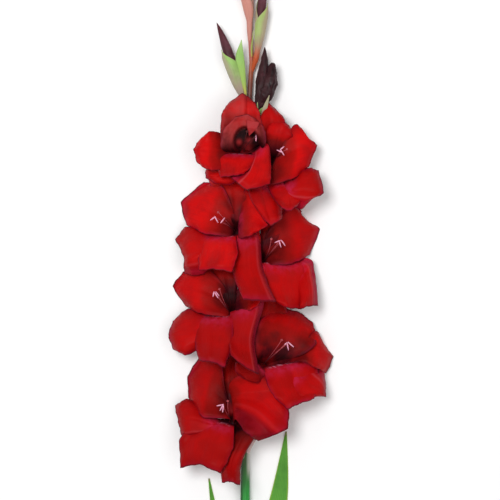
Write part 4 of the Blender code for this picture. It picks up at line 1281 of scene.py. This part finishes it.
def bract_sheet(pile, line, away, radius, start_angle, half_angle, length, colours):
    """Part of a sheath round a curved line, narrowing to a tip, from a foot on the stem where it has one."""
    along, side = grid(BRACT_GRID)
    flat = along[:, 0]
    foot = colours.get("foot")
    share = mix(0.0 if foot is None else -FOOT_SHARE, length, flat)
    below = np.clip(-share / FOOT_SHARE, 0.0, 1.0)
    share = np.clip(share, 0.0, 1.0)
    centre = bezier(line, share)
    if foot is not None:
        centre = mix(centre, plan(*foot), smooth(0.0, 1.0, below)[:, None])
    ahead = unit(bezier_slope(line, share))
    out = unit(away - ahead * (ahead @ away)[:, None])
    beside = np.cross(ahead, out)
    narrow = np.maximum(1.0 - smooth(colours.get("narrows", 0.35), 1.0, flat) ** 1.2, 0.03)[:, None]
    angle = start_angle + side * half_angle * narrow
    slim = 1.0 - FOOT_SLIMMING * smooth(0.0, 1.0, below)
    reach = (radius(share) * slim)[:, None] * (1.0 + BRACT_RIDGES[0] * np.cos(angle * BRACT_RIDGES[1]))
    direction = out[:, None] * np.cos(angle)[..., None] + beside[:, None] * np.sin(angle)[..., None]
    points = centre[:, None] + direction * reach[..., None]
    points[..., 2] = np.maximum(points[..., 2], BRACT_THICKNESS / 2.0)
    rim = np.maximum(smooth(0.88, 1.0, np.abs(side)), smooth(0.92, 1.0, along))
    lean = colours.get("lean", 0)
    blush = 1.0 - smooth(0.25, 0.85, along)
    if lean:
        blush = np.maximum(0.8 * smooth(-0.60, -0.05, lean * side), 1.0 - smooth(0.20, 0.70, along))
    thickness = BRACT_THICKNESS * BRACT_THINNING * (1.0 - 0.5 * rim)
    add_shell(pile, points, direction, thickness, grid_uv(along, side),
              side=side, veined=1.0 - rim, rim=rim * 0.6, blush=colours["blush"] * blush,
              rosy=colours.get("rosy", 0.0),
              ember=colours.get("ember", 0.0) * (1.0 - smooth(0.20, 0.50, along)))


def blade_sheet(pile, left, tip, right, heights, crown, thickness=BRACT_THICKNESS * 0.6, **values):
    """Blade that stands free, with its values."""
    along, side = grid(BLADE_GRID)
    edges = []
    for edge, way in ((left, -1.0), (right, 1.0)):
        corners = np.array([plan(*point, 0.0)[:2] for point in (*edge, tip)])
        corners[2, 0] += way * 0.25 * MM
        edges.append(through((0.0, 0.5, 1.0), corners, along[:, 0]))
    spot = mix(edges[0][:, None], edges[1][:, None], ((side + 1.0) / 2.0)[..., None])
    height = np.interp(along, np.linspace(0.0, 1.0, len(heights)), heights) * MM
    height = height + crown * MM * (1.0 - side ** 2) * (1.0 - 0.7 * along)
    points = np.concatenate([spot, height[..., None]], axis=-1)
    rim = smooth(0.80, 1.0, np.abs(side))
    add_shell(pile, points, UP, thickness * (1.0 - 0.4 * rim), grid_uv(along, side),
              side=side, veined=1.0 - rim, rim=rim * 0.4, **values)


def bract_foot(pile, line, leaves_stem):
    """Short green swelling from the stem that closes the lower end of a bloom's bracts."""
    stem_middle, _ = stem_at(leaves_stem + FOOT_DROP)
    ahead = unit(line[1] - line[0])
    path = [stem_middle, stem_middle + np.array([0.0, 5.0 * MM, 0.0]), line[0] - ahead * 3.0 * MM,
            line[0] + ahead * 2.0 * MM]
    share = np.linspace(0.0, 1.0, 13)
    radii = mix(FOOT_RADII[0], FOOT_RADII[1], smooth(0.1, 0.9, share)) * MM
    add_loft(pile, rod_rings(bezier(path, share), radii, 24), 0.2, blush=0.25)


def make_bracts(name, node, line, away, inner, lengths, colours, finishes, veins):
    """Outer and inner bract, from the inner one's radius and both lengths as a share of the line."""
    pile = Pile()

    def outer(share):
        return inner(share) + 0.35 * MM + smooth(0.0, 0.3, share) * 0.9 * MM

    bract_sheet(pile, line, away, outer, 0.0, BRACT_HALF_TURN["outer"], lengths[0], colours)
    bract_sheet(pile, line, away, inner, math.pi, BRACT_HALF_TURN["inner"], lengths[1], colours)
    if "leaves_stem" in colours:
        bract_foot(pile, line, colours["leaves_stem"])
    for blade in colours.get("blades", []):
        blade_sheet(pile, **blade)
    finish_veined(pile, "bract_pair_" + name, "bract", "bracts_" + node, finishes, veins)


def bloom_bracts(number, bloom, finishes, veins):
    line, away = tube_line(bloom)
    wall = BRACT_THICKNESS / 2.0 + SEAT_GAP

    def inner(share):
        return mix(OVARY_RADIUS, TUBE_RADIUS, smooth(0.2, 0.6, share)) * MM + wall + share * 0.6 * MM

    colours = dict(blush=0.5, leaves_stem=bloom["leaves_stem"], blades=bloom.get("blades", []))
    make_bracts(number, "bloom_" + number, line, away, inner, BLOOM_BRACTS, colours, finishes, veins)


def bud_thickness(share, swell=BUD_SWELL, taper=BUD_TAPER):
    """Radius of a bud as a share of its greatest one."""
    power = math.log(0.5) / math.log(swell)
    return np.sin(math.pi * np.clip(share, 0.001, 0.999) ** power) ** taper


def bud_body(pile, line, radius, folds=3, crumple=0.25, seed=3.0, dark=0.0, swell=BUD_SWELL, taper=BUD_TAPER):
    """Pointed body of rolled petals round a curved line. radius and crumple are in mm."""
    rows, columns = BUD_GRID
    line = [plan(*point) for point in line]
    share = np.linspace(0.004, 0.996, rows)
    centre = bezier(line, share)
    ahead = unit(bezier_slope(line, share))
    across = unit(np.cross(ahead, UP))
    front = np.cross(across, ahead)
    turn = np.linspace(0.0, math.tau, columns, endpoint=False)[None, :]
    spiral = turn - BUD_WINDING * share[:, None]
    roll = np.mod(spiral / math.tau * folds, 1.0)
    step = 1.0 + BUD_STEPS[0] * (roll - 0.5) - BUD_STEPS[1] * smooth(0.90, 1.0, roll)
    thickness = bud_thickness(share, swell, taper)
    reach = radius * MM * thickness[:, None] * step
    direction = across[:, None] * np.cos(turn)[..., None] + front[:, None] * np.sin(turn)[..., None]
    points = centre[:, None] + direction * reach[..., None]
    depth = crumple * MM
    for i in range(rows):
        for j in range(columns):
            spot = Vector(points[i, j] * BUD_LUMPS) + Vector((seed, 0, 0))
            bulk = noise.noise(spot) + 0.5 * noise.noise(spot * 2.3)
            points[i, j] += direction[i, j] * bulk * depth * thickness[i]
    add_loft(pile, points, 1.0, tip=smooth(0.70, 1.0, share)[:, None] * 0.6 * (1.0 - dark), dark=dark)


def make_bud(name, bud, finishes, veins):
    pile = Pile()
    bud_body(pile, bud["line"], bud["radius"], **bud.get("body", {}))
    if "lobe" in bud:
        bud_body(pile, **bud["lobe"])
    piece = pile.make("bud_body_" + name, [finishes["bud"]])
    face_outwards(piece)
    finish_piece(piece, "bud_" + name)
    line, radius = [plan(*point) for point in bud["line"]], bud["radius"] * MM
    away = np.array([TUBE_LEAN[0] * bud["side"], 0.0, TUBE_LEAN[1]])
    wall = BRACT_THICKNESS / 2.0 + SEAT_GAP

    def inner(share):
        return np.maximum(radius * bud_thickness(share) * 1.08, 1.6 * MM) + wall + 0.3 * MM

    colours = dict(bud, blush=0.85, lean=bud["side"])
    make_bracts(name, name, line, away, inner, bud["bracts"], colours, finishes, veins)


# leaves and stem

def make_leaf(name, leaf, finishes, veins):
    """Blade that wraps the stem at its foot and opens to lie flat."""
    along, side = grid(LEAF_GRID)
    last = len(leaf) - 1
    position = np.minimum(np.linspace(0.0, last, LEAF_GRID[0] + 1), last - 1e-6)
    index = position.astype(int)
    s = (position - index)[:, None]
    table = np.array(leaf, float)
    a, b, c, d = (table[np.clip(index + step, 0, last)] for step in (-1, 0, 1, 2))
    square, cube = (2 * a - 5 * b + 4 * c - d) * s ** 2, (3 * b - a - 3 * c + d) * s ** 3
    value = 0.5 * (2 * b + (c - a) * s + square + cube)
    half = np.maximum(value[:, 3], 0.5)[:, None] * MM
    opened = np.clip(value[:, 4], 0.0, 1.0)[:, None]
    bend = mix(1.0 / (LEAF_WRAP_RADIUS[name] * MM), 1.0 / (LEAF_OPEN_RADIUS * MM), opened ** 0.5)
    angle = bend * half * side
    centre = np.array([plan(v[0], v[1], max(v[2], LEAF_LOWEST)) for v in value])
    points = np.repeat(centre[:, None], side.size, axis=1)
    points[..., 0] += np.sin(angle) / bend
    points[..., 2] += (1.0 - np.cos(angle)) / bend * (1.0 - smooth(0.85, 1.0, opened))
    rim = smooth(0.86, 1.0, np.abs(side))
    rib = np.abs(np.cos(side * math.pi * VEINS["leaf"][0])) ** 8
    pile = Pile()
    add_shell(pile, points, UP, LEAF_THICKNESS * (1.0 - 0.4 * rim), grid_uv(along * 3.0, side), side=side,
              veined=1.0, rim=rim, rib=rib, tip=smooth(0.965, 1.0, along))
    finish_veined(pile, "leaf_blade_" + name, "leaf", "leaf_" + name, finishes, veins)


def make_stem(finishes, tree):
    table = np.array(STEM_LINE, float)
    fine = np.linspace(0.0, 1.0, 6 * (len(table) - 1) + 1)
    at = np.linspace(0.0, 1.0, len(table))
    rows = np.stack([np.interp(fine, at, table[:, i]) for i in range(4)], axis=1)
    points = [plan(*row[:3]) for row in rows]
    piece = tree.apply(make_lines("flower_stalk", [(points, rows[:, 3] * MM, False)]), {
        "Ridge Count": 9.0, "Ridge Depth": 0.03, "Sides": 72, "Step": 0.002, "Material": finishes["stem"]})
    mesh = piece.data
    around, along = (np.zeros(len(mesh.vertices), np.float32) for _ in range(2))
    mesh.attributes["around"].data.foreach_get("value", around)
    mesh.attributes["along"].data.foreach_get("value", along)
    layer = mesh.uv_layers.get("UVMap") or mesh.uv_layers.new(name="UVMap")
    corner = np.zeros(len(mesh.loops), np.int32)
    mesh.loops.foreach_get("vertex_index", corner)
    layer.data.foreach_set("uv", np.stack([around[corner], along[corner] * 12.0], axis=1).ravel())
    finish_piece(piece, "flower_stem")


# stage

def make_camera():
    data = bpy.data.cameras.new("plan_camera")
    data.lens = LENS
    data.sensor_width = SENSOR
    camera = bpy.data.objects.new("plan_camera", data)
    bpy.context.scene.collection.objects.link(camera)
    spot = plan(*VIEW_CENTRE, 0.0)
    camera.location = (spot[0], spot[1], VIEW_HEIGHT + VIEW_FIELD * LENS / SENSOR)
    data.clip_start, data.clip_end = CLIP
    bpy.context.scene.camera = camera


def make_light(name, place, size, power):
    data = bpy.data.lights.new(name, "AREA")
    data.shape = "DISK"
    data.size = size
    data.energy = power
    light = bpy.data.objects.new(name, data)
    light.location = place
    light.rotation_euler = (Vector(LIT_POINT) - Vector(place)).to_track_quat("-Z", "Y").to_euler()
    bpy.context.scene.collection.objects.link(light)


def make_stage():
    mesh = bpy.data.meshes.new("studio_floor")
    corners = [(right * FLOOR_REACH, up * FLOOR_REACH, FLOOR_HEIGHT)
               for right, up in ((-1, -1), (1, -1), (1, 1), (-1, 1))]
    mesh.from_pydata(corners, [], [(0, 1, 2, 3)])
    mesh.materials.append(paper_floor())
    floor = bpy.data.objects.new("studio_floor", mesh)
    bpy.context.scene.collection.objects.link(floor)
    world = bpy.data.worlds.new("studio_air")
    world.use_nodes = True
    world.node_tree.nodes["Background"].inputs["Color"].default_value = (1.0, 1.0, 1.0, 1.0)
    world.node_tree.nodes["Background"].inputs["Strength"].default_value = AIR_STRENGTH
    bpy.context.scene.world = world
    for name, light in LIGHTS.items():
        make_light(name, *light)
    bpy.context.scene.view_settings.view_transform = "Standard"


def finish_piece(piece, node):
    """Attaches a piece to the frame's root body and hides the CAD part that it stands for."""
    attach(piece, "root")
    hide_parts(node)


def finish_veined(pile, name, slot, node, finishes, veins):
    """Makes a pile into a piece with raised veins."""
    count, height = VEINS[slot]
    piece = pile.make(name, [finishes[slot]])
    piece = veins.apply(piece, {"Vein Count": count, "Vein Height": height, "Material": finishes[slot]})
    finish_piece(piece, node)


def main():
    framework = set(frame["nodes"].values()) | set(frame["bodies"].values())
    for thing in set(bpy.data.objects) - framework:
        bpy.data.objects.remove(thing, do_unlink=True)
    finishes = {
        "petal": petal_velvet(), "bud": bud_skin(), "bract": bract_skin(), "stem": stem_skin(),
        "leaf": leaf_skin(), "anther": anther_skin(), "pollen": pollen_skin(),
        "filament": filament_skin("filament_skin", (0.30, 0.030, 0.040), (0.52, 0.090, 0.110)),
        # A darker copy of the filament finish: painted shade for the top bloom's stamens.
        "painted_shade_filament": filament_skin("painted_shade_filament_skin", (0.05, 0.004, 0.006), (0.10, 0.008, 0.012)),
    }
    veins, stalk, stamens = vein_tree(), stem_tree(), stamen_tree()
    make_stem(finishes, stalk)
    for name, leaf in LEAVES.items():
        make_leaf(name, leaf, finishes, veins)
    for number, bloom in BLOOMS.items():
        make_bloom(number, bloom, finishes, veins)
        make_stamens(number, bloom, finishes, stamens)
        bloom_bracts(number, bloom, finishes, veins)
    for name, bud in BUDS.items():
        make_bud(name, bud, finishes, veins)
    make_stage()
    make_camera()


main()
